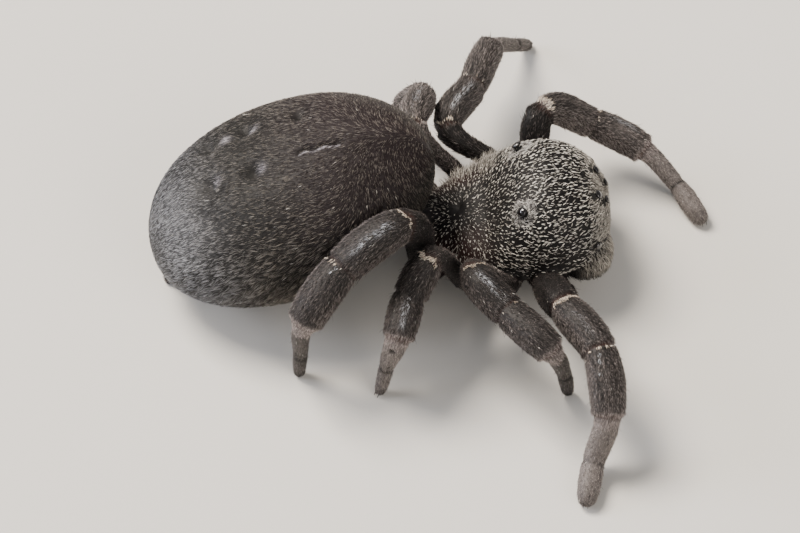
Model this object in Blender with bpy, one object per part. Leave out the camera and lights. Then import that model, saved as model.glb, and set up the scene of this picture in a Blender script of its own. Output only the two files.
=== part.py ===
"""Ladybird spider, a velvety black female, as a still life-size model made of closed solids.

Metres, +Z up. The spider faces +X and its left side is +Y. It stands on eight feet at z = 0, with the
right legs braced steeply and the left front legs stretched out. All sizes below are in millimetres
and reach out to the tips of the short coat. Places are measured from the waist, on the floor under it,
and the waist is set a little off the middle so that the box round the whole model is centred.
"""

import math

import bmesh
import bpy
from mathutils import Matrix, Vector

# Scale and spacing
MM = 0.001
WAIST_X = -0.135
WAIST_Y = 0.67
JOINT_GAP = 0.30
EYE_GAP = 0.15
MERGE = 1e-7

# Head and thorax in one shield, from its rear edge to the brow
SHIELD_REAR = -0.35
SHIELD_FRONT = 5.54
SHIELD_REAR_BLUNTNESS = 2.3
SHIELD_FRONT_BLUNTNESS = 3.0
SHIELD_SQUARENESS = 2.3
# Each row: distance ahead of the waist, half width, height of the top, height of the underside
SHIELD_ROWS = (
    (-0.35, 1.60, 2.30, 1.20),
    (0.60, 1.90, 2.43, 1.05),
    (1.70, 2.18, 2.74, 0.95),
    (2.30, 2.27, 3.40, 0.90),
    (2.90, 2.30, 3.88, 0.90),
    (3.60, 2.30, 4.10, 0.95),
    (4.50, 2.28, 4.05, 1.10),
    (5.60, 2.15, 3.55, 1.30),
)
SHIELD_WAIST_LEVEL = 1.70
SHIELD_BROW_LEVEL = 1.95

# Abdomen, an egg that carries its front end high
ABDOMEN_CENTRE = (-4.04, 0.05, 3.05)
ABDOMEN_HALF_LENGTH = 4.56
ABDOMEN_HALF_WIDTH = 3.35
ABDOMEN_HALF_HEIGHT = 2.40
ABDOMEN_PITCH = 20.0
ABDOMEN_YAW = 5.0
ABDOMEN_BLUNTNESS = 2.15
ABDOMEN_FRONT_TAPER = 0.10

PEDICEL_RADIUS = 0.48
PEDICEL_HEIGHT = 1.75
PEDICEL_REACH = 2.60

SPINNERET_STATION = -0.90
SPINNERET_SINK = 0.60
SPINNERET_BASE_RADIUS = 0.38
SPINNERET_BASE_REACH = 0.22
SPINNERET_RADIUS = 0.24
SPINNERET_REACH = 0.26
SPINNERET_SPREAD = 0.19

CHELICERA_CENTRE = (4.78, 1.08, 1.48)
CHELICERA_HALF_SIZES = (0.94, 0.98, 0.87)
FANG_ROUTE = ((4.97, 1.00, 0.90), (4.87, 0.90, 0.50), (4.52, 0.68, 0.33), (4.12, 0.50, 0.36))
FANG_RADII = (0.27, 0.25, 0.17, 0.06)

PALP_ROUTE = (
    (3.80, 1.70, 1.15),
    (4.02, 2.10, 1.02),
    (4.20, 2.26, 0.78),
    (4.28, 2.20, 0.50),
)
PALP_RADII = (0.24, 0.25, 0.26, 0.20)
# Rings of each stretch between two knots of a route
FANG_STEPS = 3
PALP_STEPS = 4

# Eyes: distance ahead of the waist, degrees round the shield from its side (0) to its top (90), radius
EYES = {
    "eye_front_median": (5.36, 74.0, 0.11),
    "eye_rear_median": (5.08, 73.0, 0.14),
    "eye_front_lateral": (5.02, 16.0, 0.12),
    "eye_rear_lateral": (2.80, 57.0, 0.14),
}
EYE_SINK = 0.45

# Legs: each place is ahead of the waist, out to the leg's own side and above the floor
HIPS = {1: (3.30, 2.10, 1.40), 2: (2.40, 2.20, 1.40), 3: (1.15, 2.00, 1.40), 4: (0.15, 1.50, 1.40)}
SEGMENTS = ("femur", "patella", "tibia", "metatarsus", "tarsus")
# Knee, then the joints before the tibia, the metatarsus and the tarsus, then the toe
LEG_JOINTS = {
    "right_1": (
        (3.84, 4.30, 2.72), (4.76, 5.98, 2.66), (4.90, 7.83, 1.86), (4.47, 8.45, 0.53), (4.21, 9.55),
    ),
    "right_2": (
        (1.23, 3.26, 3.15), (2.16, 4.56, 2.94), (3.35, 5.97, 2.73), (3.78, 5.60, 1.20), (3.92, 5.45),
    ),
    "right_3": (
        (-0.06, 3.11, 3.64), (-0.70, 3.82, 2.94), (-1.14, 5.14, 2.60), (-1.45, 4.98, 1.13), (-1.65, 5.12),
    ),
    "right_4": (
        (-0.84, 2.50, 4.61), (-2.67, 3.56, 4.07), (-3.86, 4.68, 2.96), (-4.00, 4.43, 1.18), (-4.04, 4.31),
    ),
    "left_1": (
        (3.69, 3.24, 2.83), (5.23, 3.70, 1.74), (6.82, 2.84, 1.35), (7.74, 2.06, 0.61), (8.36, 1.04),
    ),
    "left_2": (
        (0.84, 3.17, 2.36), (1.64, 4.87, 2.25), (2.37, 6.70, 1.96), (3.14, 7.72, 0.90), (3.58, 8.32),
    ),
    "left_3": (
        (-0.24, 2.60, 3.20), (0.06, 4.05, 2.80), (-0.40, 4.75, 1.64), (-1.06, 5.30, 0.50), (-1.72, 5.75),
    ),
    "left_4": (
        (-2.15, 3.70, 2.35), (-4.20, 4.05, 1.95), (-6.00, 3.65, 1.25), (-7.15, 2.60, 0.55), (-7.60, 1.85),
    ),
}
# Radii at the start, the middle and the end of the three thick segments, to be taken times the girth
THICK_RADII = ((0.36, 0.54, 0.48), (0.48, 0.59, 0.52), (0.52, 0.58, 0.50))
FEMUR_SLIMMING = {1: 1.00, 2: 0.68, 3: 0.60, 4: 0.82}
GIRTHS = {
    "right_1": 1.01,
    "right_2": 0.95,
    "right_3": 0.94,
    "right_4": 1.06,
    "left_1": 0.88,
    "left_2": 0.88,
    "left_3": 0.85,
    "left_4": 0.93,
}
# Radii of the two thin segments: the metatarsus at its start and middle, the joint, the tarsus and its tip
THIN_RADII = {
    "right_1": (0.41, 0.42, 0.38, 0.40, 0.35),
    "right_2": (0.34, 0.30, 0.27, 0.27, 0.23),
    "right_3": (0.40, 0.35, 0.28, 0.27, 0.23),
    "right_4": (0.37, 0.31, 0.27, 0.26, 0.23),
    "left_1": (0.34, 0.33, 0.31, 0.36, 0.33),
    "left_2": (0.31, 0.28, 0.26, 0.26, 0.24),
    "left_3": (0.34, 0.31, 0.28, 0.28, 0.25),
    "left_4": (0.37, 0.34, 0.30, 0.30, 0.26),
}
# Height of a toe's middle as a share of its radius, so that it stands on a small flat
TOE_SHARE = 0.84
# Legs whose first segments lie in a shallow hollow of the soft abdomen
LEGS_AGAINST_ABDOMEN = ("right_4",)
PRESSING_SEGMENTS = 2
COXA_ROOT_INSET = 0.35
COXA_RADIUS = 0.50
HANDLE_SHARE = 0.31
LEG_RINGS = 7
ROUND_SIDES_LEVEL = 3

# Finishes: colour as linear red, green, blue, then roughness and metallic
VELVET_BLACK = (0.018, 0.016, 0.018, 1.0)
CHARCOAL = (0.034, 0.032, 0.035, 1.0)
MAHOGANY = (0.030, 0.008, 0.005, 1.0)
EYE_BLACK = (0.004, 0.004, 0.005, 1.0)


def finish(name, colour, roughness, metallic=0.0):
    """A plain material with one colour, its roughness and its metallic value."""
    material = bpy.data.materials.new(name)
    material.use_nodes = True
    shader = material.node_tree.nodes["Principled BSDF"]
    shader.inputs["Base Color"].default_value = colour
    shader.inputs["Roughness"].default_value = roughness
    shader.inputs["Metallic"].default_value = metallic
    return material


def shield_velvet():
    """Short dense hair on the head and thorax."""
    return finish("shield_velvet", CHARCOAL, 0.85)


def abdomen_velvet():
    """Deep black velvet of the abdomen."""
    return finish("abdomen_velvet", VELVET_BLACK, 0.9)


def leg_velvet():
    """Greyer hair of the legs."""
    return finish("leg_velvet", CHARCOAL, 0.8)


def fang_horn():
    """Hard red-brown horn of the fangs."""
    return finish("fang_horn", MAHOGANY, 0.25)


def eye_lens():
    """Smooth dark lens."""
    return finish("eye_lens", EYE_BLACK, 0.08)


def place(point):
    """Turns millimetres from the waist into metres from the model's origin."""
    return Vector((point[0] + WAIST_X, point[1] + WAIST_Y, point[2])) * MM


def mirrored(point, side):
    """The same place on the left side (1) or the right side (-1)."""
    return Vector((point[0], point[1] * side, point[2]))


def blend_rows(rows, x):
    """Values of a table at x, on a smooth curve through its rows."""
    if x <= rows[0][0]:
        return rows[0][1:]
    for low, high in zip(rows, rows[1:]):
        if x <= high[0]:
            share = (x - low[0]) / (high[0] - low[0])
            smooth = share * share * (3.0 - 2.0 * share)
            mix = 0.5 * (share + smooth)
            return [a + (b - a) * mix for a, b in zip(low[1:], high[1:])]
    return rows[-1][1:]


def squared_circle(angle, power):
    """Point of a unit circle that a power above 2 makes squarer."""
    across, up = math.cos(angle), math.sin(angle)
    stretch = (abs(across) ** power + abs(up) ** power) ** (-1.0 / power)
    return across * stretch, up * stretch


def end_rounding(station, power):
    """How wide a body is at station -1 to 1 of its length; a higher power is blunter."""
    return max(0.0, 1.0 - abs(station) ** power) ** (1.0 / power)


def shield_point(station, angle):
    """Surface of the head and thorax: station -1 at the rear, 1 at the brow, angle 0 on the left side."""
    x = SHIELD_REAR + (SHIELD_FRONT - SHIELD_REAR) * (station + 1.0) / 2.0
    half_width, top, underside = blend_rows(SHIELD_ROWS, x)
    level = SHIELD_WAIST_LEVEL + (SHIELD_BROW_LEVEL - SHIELD_WAIST_LEVEL) * (station + 1.0) / 2.0
    bluntness = SHIELD_FRONT_BLUNTNESS if station > 0.0 else SHIELD_REAR_BLUNTNESS
    rounding = end_rounding(station, bluntness)
    across, up = squared_circle(angle, SHIELD_SQUARENESS)
    height = (top - level) if up > 0.0 else (level - underside)
    return Vector((x, half_width * rounding * across, level + height * rounding * up))


def abdomen_point(station, angle):
    """Surface of the abdomen: station -1 at the rear, 1 at the front, angle 0 on the left side."""
    rounding = end_rounding(station, ABDOMEN_BLUNTNESS)
    taper = 1.0 - ABDOMEN_FRONT_TAPER * max(0.0, station) ** 2
    local = Vector((
        ABDOMEN_HALF_LENGTH * station,
        ABDOMEN_HALF_WIDTH * rounding * taper * math.cos(angle),
        ABDOMEN_HALF_HEIGHT * rounding * taper * math.sin(angle),
    ))
    pitch = Matrix.Rotation(math.radians(-ABDOMEN_PITCH), 3, "Y")
    yaw = Matrix.Rotation(math.radians(ABDOMEN_YAW), 3, "Z")
    return Vector(ABDOMEN_CENTRE) + yaw @ pitch @ local


def chelicera_point(side):
    """Function of a jaw's surface on the given side."""
    def point(station, angle):
        rounding = end_rounding(station, 2.4)
        across, up = squared_circle(angle, 2.4)
        sizes = CHELICERA_HALF_SIZES
        local = Vector((sizes[0] * station, sizes[1] * rounding * across, sizes[2] * rounding * up))
        return mirrored(CHELICERA_CENTRE, side) + local
    return point


def add_object(name, mesh, material, collection):
    """Puts a mesh in the collection with its material and smooth shading."""
    mesh.materials.clear()
    mesh.materials.append(material)
    mesh.shade_smooth()
    mesh.set_sharp_from_angle(angle=math.radians(40.0))
    piece = bpy.data.objects.new(name, mesh)
    collection.objects.link(piece)
    return piece


def mesh_from(bm, name):
    """Ends a bmesh as a mesh of that name."""
    mesh = bpy.data.meshes.new(name)
    bm.to_mesh(mesh)
    bm.free()
    return mesh


def ball_mesh(name, surface, around, along):
    """A sphere whose points are moved to surface(station, angle), with its poles at stations -1 and 1."""
    bm = bmesh.new()
    bmesh.ops.create_uvsphere(bm, u_segments=around, v_segments=along, radius=1.0)
    for vertex in bm.verts:
        station = max(-1.0, min(1.0, vertex.co.z))
        angle = math.atan2(vertex.co.y, vertex.co.x)
        vertex.co = place(surface(station, angle))
    return mesh_from(bm, name)


def tube_mesh(name, points, radii):
    """A closed tube through the points, in millimetres from the waist, with a radius at each."""
    curve = bpy.data.curves.new(name, "CURVE")
    curve.dimensions = "3D"
    curve.bevel_depth = MM
    curve.bevel_resolution = ROUND_SIDES_LEVEL
    curve.use_fill_caps = True
    spline = curve.splines.new("POLY")
    spline.points.add(len(points) - 1)
    for knot, point, radius in zip(spline.points, points, radii):
        knot.co = (*place(point), 1.0)
        knot.radius = radius
    holder = bpy.data.objects.new(name, curve)
    bpy.context.scene.collection.objects.link(holder)
    bpy.context.view_layer.update()
    evaluated = holder.evaluated_get(bpy.context.evaluated_depsgraph_get())
    mesh = bpy.data.meshes.new_from_object(evaluated)
    bpy.data.objects.remove(holder)
    bpy.data.curves.remove(curve)
    bm = bmesh.new()
    bm.from_mesh(mesh)
    bmesh.ops.remove_doubles(bm, verts=bm.verts, dist=MERGE)
    bmesh.ops.recalc_face_normals(bm, faces=bm.faces)
    bm.to_mesh(mesh)
    bm.free()
    return mesh


def smooth_route(knots, radii, steps):
    """Points and radii on a smooth curve through a few knots."""
    knots = [Vector(knot) for knot in knots]
    points, widths = [], []
    for index in range(len(knots) - 1):
        before = knots[max(index - 1, 0)]
        start, end = knots[index], knots[index + 1]
        after = knots[min(index + 2, len(knots) - 1)]
        for step in range(steps):
            t = step / steps
            points.append(0.5 * (
                2.0 * start + (end - before) * t
                + (2.0 * before - 5.0 * start + 4.0 * end - after) * t ** 2
                + (3.0 * start - before - 3.0 * end + after) * t ** 3
            ))
            widths.append(radii[index] + (radii[index + 1] - radii[index]) * t)
    return points + [knots[-1]], widths + [radii[-1]]


def rounded_end(points, radii):
    """Adds a round end of the last radius to a route."""
    heading = (points[-1] - points[-2]).normalized()
    tip, radius = points[-1], radii[-1]
    for angle in (30.0, 58.0, 80.0):
        turn = math.radians(angle)
        points.append(tip + heading * radius * math.sin(turn))
        radii.append(radius * math.cos(turn))
    return points, radii


def keep_largest(mesh):
    """Keeps only the largest closed surface of a mesh."""
    bm = bmesh.new()
    bm.from_mesh(mesh)
    bmesh.ops.remove_doubles(bm, verts=bm.verts, dist=MERGE)
    left = set(bm.verts)
    islands = []
    while left:
        island, edge = set(), [left.pop()]
        while edge:
            vertex = edge.pop()
            island.add(vertex)
            for link in vertex.link_edges:
                other = link.other_vert(vertex)
                if other in left:
                    left.discard(other)
                    edge.append(other)
        islands.append(island)
    islands.sort(key=len, reverse=True)
    loose = [vertex for island in islands[1:] for vertex in island]
    bmesh.ops.delete(bm, geom=loose, context="VERTS")
    bm.to_mesh(mesh)
    bm.free()


def apply_boolean(piece, operation, **operand):
    """Applies one Boolean modifier to a piece and keeps the largest closed surface."""
    modifier = piece.modifiers.new("fit", "BOOLEAN")
    modifier.operation = operation
    modifier.solver = "EXACT"
    for name, value in operand.items():
        setattr(modifier, name, value)
    bpy.context.view_layer.update()
    evaluated = piece.evaluated_get(bpy.context.evaluated_depsgraph_get())
    mesh = bpy.data.meshes.new_from_object(evaluated)
    piece.modifiers.clear()
    old = piece.data
    piece.data = mesh
    bpy.data.meshes.remove(old)
    keep_largest(piece.data)


def join_pieces(piece, meshes, guides):
    """Fuses closed meshes into a piece by one union on a collection."""
    group = bpy.data.collections.new("lobes")
    guides.children.link(group)
    lobes = []
    for mesh in meshes:
        lobe = bpy.data.objects.new(mesh.name, mesh)
        group.objects.link(lobe)
        lobes.append(lobe)
    apply_boolean(piece, "UNION", operand_type="COLLECTION", collection=group)
    for lobe in lobes:
        bpy.data.objects.remove(lobe)
    bpy.data.collections.remove(group)


def clearance_guide(mesh, guides):
    """A cutter one joint gap larger all round than a mesh."""
    bm = bmesh.new()
    bm.from_mesh(mesh)
    bm.normal_update()
    moves = [(vertex, vertex.normal * JOINT_GAP * MM) for vertex in bm.verts]
    for vertex, move in moves:
        vertex.co += move
    cutter = bpy.data.objects.new(f"{mesh.name}_clearance", mesh_from(bm, "clearance"))
    guides.objects.link(cutter)
    cutter.hide_render = True
    cutter.display_type = "WIRE"
    return cutter


def cut_clear(piece, cutter):
    """Cuts a piece by a clearance guide."""
    apply_boolean(piece, "DIFFERENCE", operand_type="OBJECT", object=cutter)


def cut_flat(mesh, spot, facing):
    """Takes off all behind a plane and closes the cut with a flat; facing points to what is kept."""
    bm = bmesh.new()
    bm.from_mesh(mesh)
    geometry = bm.verts[:] + bm.edges[:] + bm.faces[:]
    bmesh.ops.bisect_plane(
        bm, geom=geometry, dist=MERGE, plane_co=spot, plane_no=facing, clear_inner=True)
    rim = [edge for edge in bm.edges if edge.is_boundary]
    bmesh.ops.holes_fill(bm, edges=rim)
    bmesh.ops.recalc_face_normals(bm, faces=bm.faces)
    bm.to_mesh(mesh)
    bm.free()


def leg_side(name):
    """1 for a leg of the left side, -1 for one of the right side."""
    return 1 if name.startswith("left") else -1


def coxa_heading(name):
    """Way that a leg's hip points out from the middle of the chest."""
    hip = mirrored(HIPS[int(name[-1])], leg_side(name))
    chest = Vector((0.5 * (HIPS[1][0] + HIPS[4][0]), 0.0, hip.z))
    return (hip - chest).normalized()


def leg_joints(name):
    """Places of a leg's joints from the hip to the toe, which is set on the floor."""
    *joints, toe = LEG_JOINTS[name]
    places = (HIPS[int(name[-1])], *joints, (*toe, TOE_SHARE * THIN_RADII[name][-1]))
    return [mirrored(spot, leg_side(name)) for spot in places]


def leg_radii(name):
    """Radii at the start, the middle and the end of each of a leg's five segments."""
    girth = GIRTHS[name]
    rows = [[radius * girth for radius in row] for row in THICK_RADII]
    rows[0][1] *= FEMUR_SLIMMING[int(name[-1])]
    first, middle, joint, belly, tip = THIN_RADII[name]
    return rows + [[first, middle, joint], [joint, belly, tip]]


def joint_headings(joints, first):
    """Heading shared by the two pieces that meet at each joint."""
    ways = [(end - start).normalized() for start, end in zip(joints, joints[1:])]
    headings = [(first + ways[0]).normalized()]
    headings += [(before + after).normalized() for before, after in zip(ways, ways[1:])]
    return headings + [ways[-1]]


def segment_route(start, end, start_heading, end_heading, rings):
    """Points on a curve that leaves and meets the joints square to their faces."""
    handle = (end - start).length * HANDLE_SHARE
    first, second = start + start_heading * handle, end - end_heading * handle
    points = []
    for step in range(rings):
        t = step / (rings - 1)
        s = 1.0 - t
        points.append(start * s ** 3 + first * 3 * s * s * t + second * 3 * s * t * t + end * t ** 3)
    return points


def segment_radii(start, belly, end, rings):
    """Radii that pass from one joint over the belly to the next joint."""
    radii = []
    for step in range(rings):
        t = step / (rings - 1)
        radii.append(start * (1 - t) * (1 - 2 * t) + 4 * belly * t * (1 - t) + end * t * (2 * t - 1))
    return radii


def make_leg(name, material, collection):
    """Five segments of one leg, parted at the joints by flat faces a gap apart."""
    pieces = []
    joints = leg_joints(name)
    headings = joint_headings(joints, coxa_heading(name))
    radii = leg_radii(name)
    for index, segment in enumerate(SEGMENTS):
        toe = segment == SEGMENTS[-1]
        start = joints[index] + headings[index] * JOINT_GAP / 2
        end = joints[index + 1] - headings[index + 1] * (0.0 if toe else JOINT_GAP / 2)
        points = segment_route(start, end, headings[index], headings[index + 1], LEG_RINGS)
        widths = segment_radii(*radii[index], LEG_RINGS)
        if toe:
            points, widths = rounded_end(points, widths)
        mesh = tube_mesh(f"leg_{name}_{segment}", points, widths)
        if toe:
            cut_flat(mesh, (0.0, 0.0, 0.0), (0.0, 0.0, 1.0))
        pieces.append(add_object(mesh.name, mesh, material, collection))
    return pieces


def coxa_lobe(name):
    """Root of one leg, from inside the chest to the hip's flat face."""
    joints = leg_joints(name)
    hip = joints[0]
    outward = coxa_heading(name)
    heading = joint_headings(joints, outward)[0]
    root = Vector((hip.x, 0.0, hip.z)).lerp(hip, COXA_ROOT_INSET)
    face = hip - heading * JOINT_GAP / 2
    points = segment_route(root, face, outward, heading, LEG_RINGS)
    end = leg_radii(name)[0][0]
    return tube_mesh(f"coxa_{name}", points, segment_radii(COXA_RADIUS, COXA_RADIUS, end, LEG_RINGS))


def make_prosoma(material, collection, guides):
    """Head and thorax with the roots of the eight legs."""
    piece = add_object("prosoma", ball_mesh("prosoma", shield_point, 28, 18), material, collection)
    clearance = clearance_guide(piece.data, guides)
    join_pieces(piece, [coxa_lobe(name) for name in LEG_JOINTS], guides)
    return piece, clearance


def make_abdomen(material, collection, guides):
    """The large egg of the abdomen."""
    piece = add_object("abdomen", ball_mesh("abdomen", abdomen_point, 32, 20), material, collection)
    return piece, clearance_guide(piece.data, guides)


def make_pedicel(shield_clearance, abdomen_clearance, material, collection):
    """The waist between thorax and abdomen."""
    points = [(x, 0.0, PEDICEL_HEIGHT) for x in (0.5, 0.5 - PEDICEL_REACH)]
    mesh = tube_mesh("pedicel", points, (PEDICEL_RADIUS, PEDICEL_RADIUS))
    piece = add_object("pedicel", mesh, material, collection)
    cut_clear(piece, shield_clearance)
    cut_clear(piece, abdomen_clearance)


def make_spinnerets(abdomen_clearance, material, collection, guides):
    """A short cluster of silk tubes at the end of the abdomen."""
    root = abdomen_point(SPINNERET_STATION, math.radians(-90.0))
    axis = abdomen_point(-1.0, 0.0) - Vector(ABDOMEN_CENTRE)
    heading = Vector((axis.x, axis.y, 0.0)).normalized()
    upward = Vector((0.0, 0.0, 1.0))
    across = heading.cross(upward)
    start = root - heading * SPINNERET_SINK
    base_points = (start, root + heading * SPINNERET_BASE_REACH)
    base = tube_mesh("spinnerets", base_points, (SPINNERET_BASE_RADIUS, SPINNERET_BASE_RADIUS))
    piece = add_object("spinnerets", base, material, collection)
    lobes = []
    for lift in (SPINNERET_SPREAD, -SPINNERET_SPREAD):
        for shift in (SPINNERET_SPREAD, -SPINNERET_SPREAD):
            aside = across * shift + upward * lift
            ends = [start + aside, root + heading * SPINNERET_REACH + aside]
            points, radii = rounded_end(ends, [SPINNERET_RADIUS, SPINNERET_RADIUS])
            lobes.append(tube_mesh("spinneret_lobe", points, radii))
    join_pieces(piece, lobes, guides)
    cut_clear(piece, abdomen_clearance)


def make_jaw(side, shield_clearance, finishes, collection, guides):
    """One stout chelicera and its fang."""
    word = "left" if side > 0 else "right"
    mesh = ball_mesh(f"chelicera_{word}", chelicera_point(side), 16, 12)
    cut_flat(mesh, place((0.0, side * JOINT_GAP / 2, 0.0)), (0.0, side, 0.0))
    jaw = add_object(mesh.name, mesh, finishes["velvet"], collection)
    cut_clear(jaw, shield_clearance)
    knots = [mirrored(knot, side) for knot in FANG_ROUTE]
    points, radii = rounded_end(*smooth_route(knots, FANG_RADII, FANG_STEPS))
    fang = add_object(f"fang_{word}", tube_mesh(f"fang_{word}", points, radii), finishes["horn"], collection)
    cut_clear(fang, clearance_guide(jaw.data, guides))


def make_palp(side, shield_clearance, material, collection):
    """One short feeler beside the jaw, tucked under the head."""
    word = "left" if side > 0 else "right"
    knots = [mirrored(knot, side) for knot in PALP_ROUTE]
    points, radii = rounded_end(*smooth_route(knots, PALP_RADII, PALP_STEPS))
    piece = add_object(f"palp_{word}", tube_mesh(f"palp_{word}", points, radii), material, collection)
    cut_clear(piece, shield_clearance)


def eye_centre(x, degrees, radius):
    """Centre of an eye of the left side, sunk in the shield."""
    station = 2.0 * (x - SHIELD_REAR) / (SHIELD_FRONT - SHIELD_REAR) - 1.0
    angle, small = math.radians(degrees), 0.01
    point = shield_point(station, angle)
    along = shield_point(station + small, angle) - shield_point(station - small, angle)
    around = shield_point(station, angle + small) - shield_point(station, angle - small)
    outward = along.cross(around).normalized()
    return point - outward * radius * EYE_SINK


def lens_ball(name, centre, radius):
    """A small ball for a lens or its socket."""
    bm = bmesh.new()
    spot = Matrix.Translation(place(centre))
    bmesh.ops.create_uvsphere(bm, u_segments=8, v_segments=6, radius=radius * MM, matrix=spot)
    return mesh_from(bm, name)


def make_eyes(prosoma, material, collection, guides):
    """Four pairs of eyes, each in a socket of the shield."""
    for name, (x, degrees, radius) in EYES.items():
        for side, word in ((1, "left"), (-1, "right")):
            centre = mirrored(eye_centre(x, degrees, radius), side)
            socket = bpy.data.objects.new("socket", lens_ball("socket", centre, radius + EYE_GAP))
            guides.objects.link(socket)
            cut_clear(prosoma, socket)
            bpy.data.objects.remove(socket)
            label = f"{name}_{word}"
            add_object(label, lens_ball(label, centre, radius), material, collection)


def clear_scene():
    """Removes what a new file holds."""
    for piece in list(bpy.data.objects):
        bpy.data.objects.remove(piece)


def main():
    """Builds every piece of the spider."""
    clear_scene()
    collection = bpy.data.collections.new("ladybird_spider")
    guides = bpy.data.collections.new("cutters")
    bpy.context.scene.collection.children.link(collection)
    bpy.context.scene.collection.children.link(guides)
    shield, velvet, leg = shield_velvet(), abdomen_velvet(), leg_velvet()
    prosoma, shield_clearance = make_prosoma(shield, collection, guides)
    abdomen, abdomen_clearance = make_abdomen(velvet, collection, guides)
    make_pedicel(shield_clearance, abdomen_clearance, velvet, collection)
    make_spinnerets(abdomen_clearance, velvet, collection, guides)
    finishes = {"velvet": shield, "horn": fang_horn()}
    for side in (1, -1):
        make_jaw(side, shield_clearance, finishes, collection, guides)
        make_palp(side, shield_clearance, leg, collection)
    make_eyes(prosoma, eye_lens(), collection, guides)
    for name in LEG_JOINTS:
        pieces = make_leg(name, leg, collection)
        cut_clear(pieces[0], shield_clearance)
        if name in LEGS_AGAINST_ABDOMEN:
            for piece in pieces[:PRESSING_SEGMENTS]:
                cut_clear(abdomen, clearance_guide(piece.data, guides))


main()
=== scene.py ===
"""Looks of a ladybird spider, a velvety black female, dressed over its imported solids.

The flesh becomes one closed skin that lies a hair's depth inside the solids, and a coat of fine solid
hairs grows from it, part by part, along the lie of the coat. Eyes, fangs and claws are pieces of their own.
Sizes are in millimetres, and places are measured from the waist, on the floor under it, with +X ahead and
+Y to the spider's left, until a piece is finished and brought to metres.
"""

import logging
import math
from collections.abc import Callable, Sequence
from dataclasses import dataclass, field
from enum import Enum, IntEnum
from itertools import product

import bmesh
import bpy
import numpy as np
from mathutils import Matrix, Vector
from mathutils.kdtree import KDTree


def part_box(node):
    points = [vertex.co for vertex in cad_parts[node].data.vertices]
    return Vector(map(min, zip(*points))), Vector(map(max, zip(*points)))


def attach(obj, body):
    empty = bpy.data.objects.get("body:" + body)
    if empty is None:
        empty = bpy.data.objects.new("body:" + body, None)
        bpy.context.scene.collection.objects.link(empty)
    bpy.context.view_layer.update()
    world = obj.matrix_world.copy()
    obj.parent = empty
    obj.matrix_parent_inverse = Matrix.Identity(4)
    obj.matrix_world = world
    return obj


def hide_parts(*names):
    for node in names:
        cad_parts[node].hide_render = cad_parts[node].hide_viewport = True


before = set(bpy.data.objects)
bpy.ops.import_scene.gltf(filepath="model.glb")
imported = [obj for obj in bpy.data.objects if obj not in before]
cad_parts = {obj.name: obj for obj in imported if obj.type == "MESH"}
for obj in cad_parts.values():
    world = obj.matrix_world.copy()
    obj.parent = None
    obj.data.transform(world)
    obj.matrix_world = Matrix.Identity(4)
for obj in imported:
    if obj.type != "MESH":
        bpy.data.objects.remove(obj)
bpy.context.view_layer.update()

LOG = logging.getLogger("ladybird_spider")
MM = 0.001
# Where the waist stands over the floor, in the row's frame
WAIST = np.array((-0.135, 0.67, 0.0))
UP = np.array((0.0, 0.0, 1.0))
# Takes the height out of a way that it multiplies
LEVEL = np.array((1.0, 1.0, 0.0))
SIDES = {1: "left", -1: "right"}
COLOUR_LAYER = "coat_colour"
BAKE_MAP = "OFBake"
# Half the width of a hair's patch on its flat map
PATCH = 0.0015
PIECE_TRIANGLES = 190_000
FLOOR_CLEARANCE = 0.006
# Farther than any limb reaches
FAR = 9.0

Array = np.ndarray
Rng = np.random.Generator
Place = tuple[float, float, float]
Tints = tuple[Array, Array]


class Slot(Enum):
    """Material slots of the record."""

    SHIELD = "shield_velvet"
    ABDOMEN = "abdomen_velvet"
    LEG = "leg_velvet"
    HORN = "fang_horn"
    LENS = "eye_lens"


class HairShape(Enum):
    """Shape of one hair: where its rings stand along it, and how thick it is at each."""

    SPIKE = ((0.0, 1.0),)
    BENT = ((0.0, 0.9), (0.5, 0.8))
    SPINDLE = ((0.0, 0.55), (0.35, 1.0), (0.72, 0.75))


class Segment(IntEnum):
    """Numbers of a leg's stretches, from the body out."""

    COXA = 0
    FEMUR = 1
    PATELLA = 2
    TIBIA = 3
    METATARSUS = 4
    TARSUS = 5


def linear(code: str) -> Array:
    """Turns an sRGB hex colour to linear red, green and blue.

    Args:
        code: the colour as six hex digits after a hash sign.

    Returns:
        Three linear values.
    """
    values = np.array([int(code[start:start + 2], 16) / 255.0 for start in (1, 3, 5)])
    return np.where(values <= 0.04045, values / 12.92, ((values + 0.055) / 1.055) ** 2.4)


def unit(vectors: Array) -> Array:
    """Vectors of length one along the given ones."""
    return vectors / np.maximum(np.linalg.norm(vectors, axis=-1, keepdims=True), 1e-9)


def ease(low: float, high: float, values: Array) -> Array:
    """Smooth rise from 0 at low to 1 at high."""
    share = np.clip((values - low) / (high - low), 0.0, 1.0)
    return share * share * (3.0 - 2.0 * share)


def bell(*offsets: Array) -> Array:
    """1 where every offset is 0, fading to nearly 0 where one is 2."""
    return np.exp(-sum(offset ** 2 for offset in offsets))


def blend(first: Array, second: Array, share: Array | float) -> Array:
    """Mix of two colours, or rows of colours, by a share for each row or for all."""
    return first + (second - first) * np.asarray(share)[..., None]


def mixed_hair(dark: str, pale: str, share: Array, root: float) -> Tints:
    """Colours at root and tip of hairs between a dark and a pale one; root scales the light at the root."""
    tip = blend(linear(dark), linear(pale), share)
    return tip * root, tip


def ripple(points: Array, size: float, seed: int) -> Array:
    """Smooth random variation over space, from about -1 to 1.

    Args:
        points: places in millimetres.
        size: width of the patches in millimetres.
        seed: number that picks the pattern.

    Returns:
        One value for each point.
    """
    rng = np.random.default_rng(seed)
    waves = rng.normal(size=(9, 3)) * 2.0 / size
    phases = rng.uniform(0.0, math.tau, 9)
    return np.sin(points @ waves.T + phases).sum(axis=1) / 3.0


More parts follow.
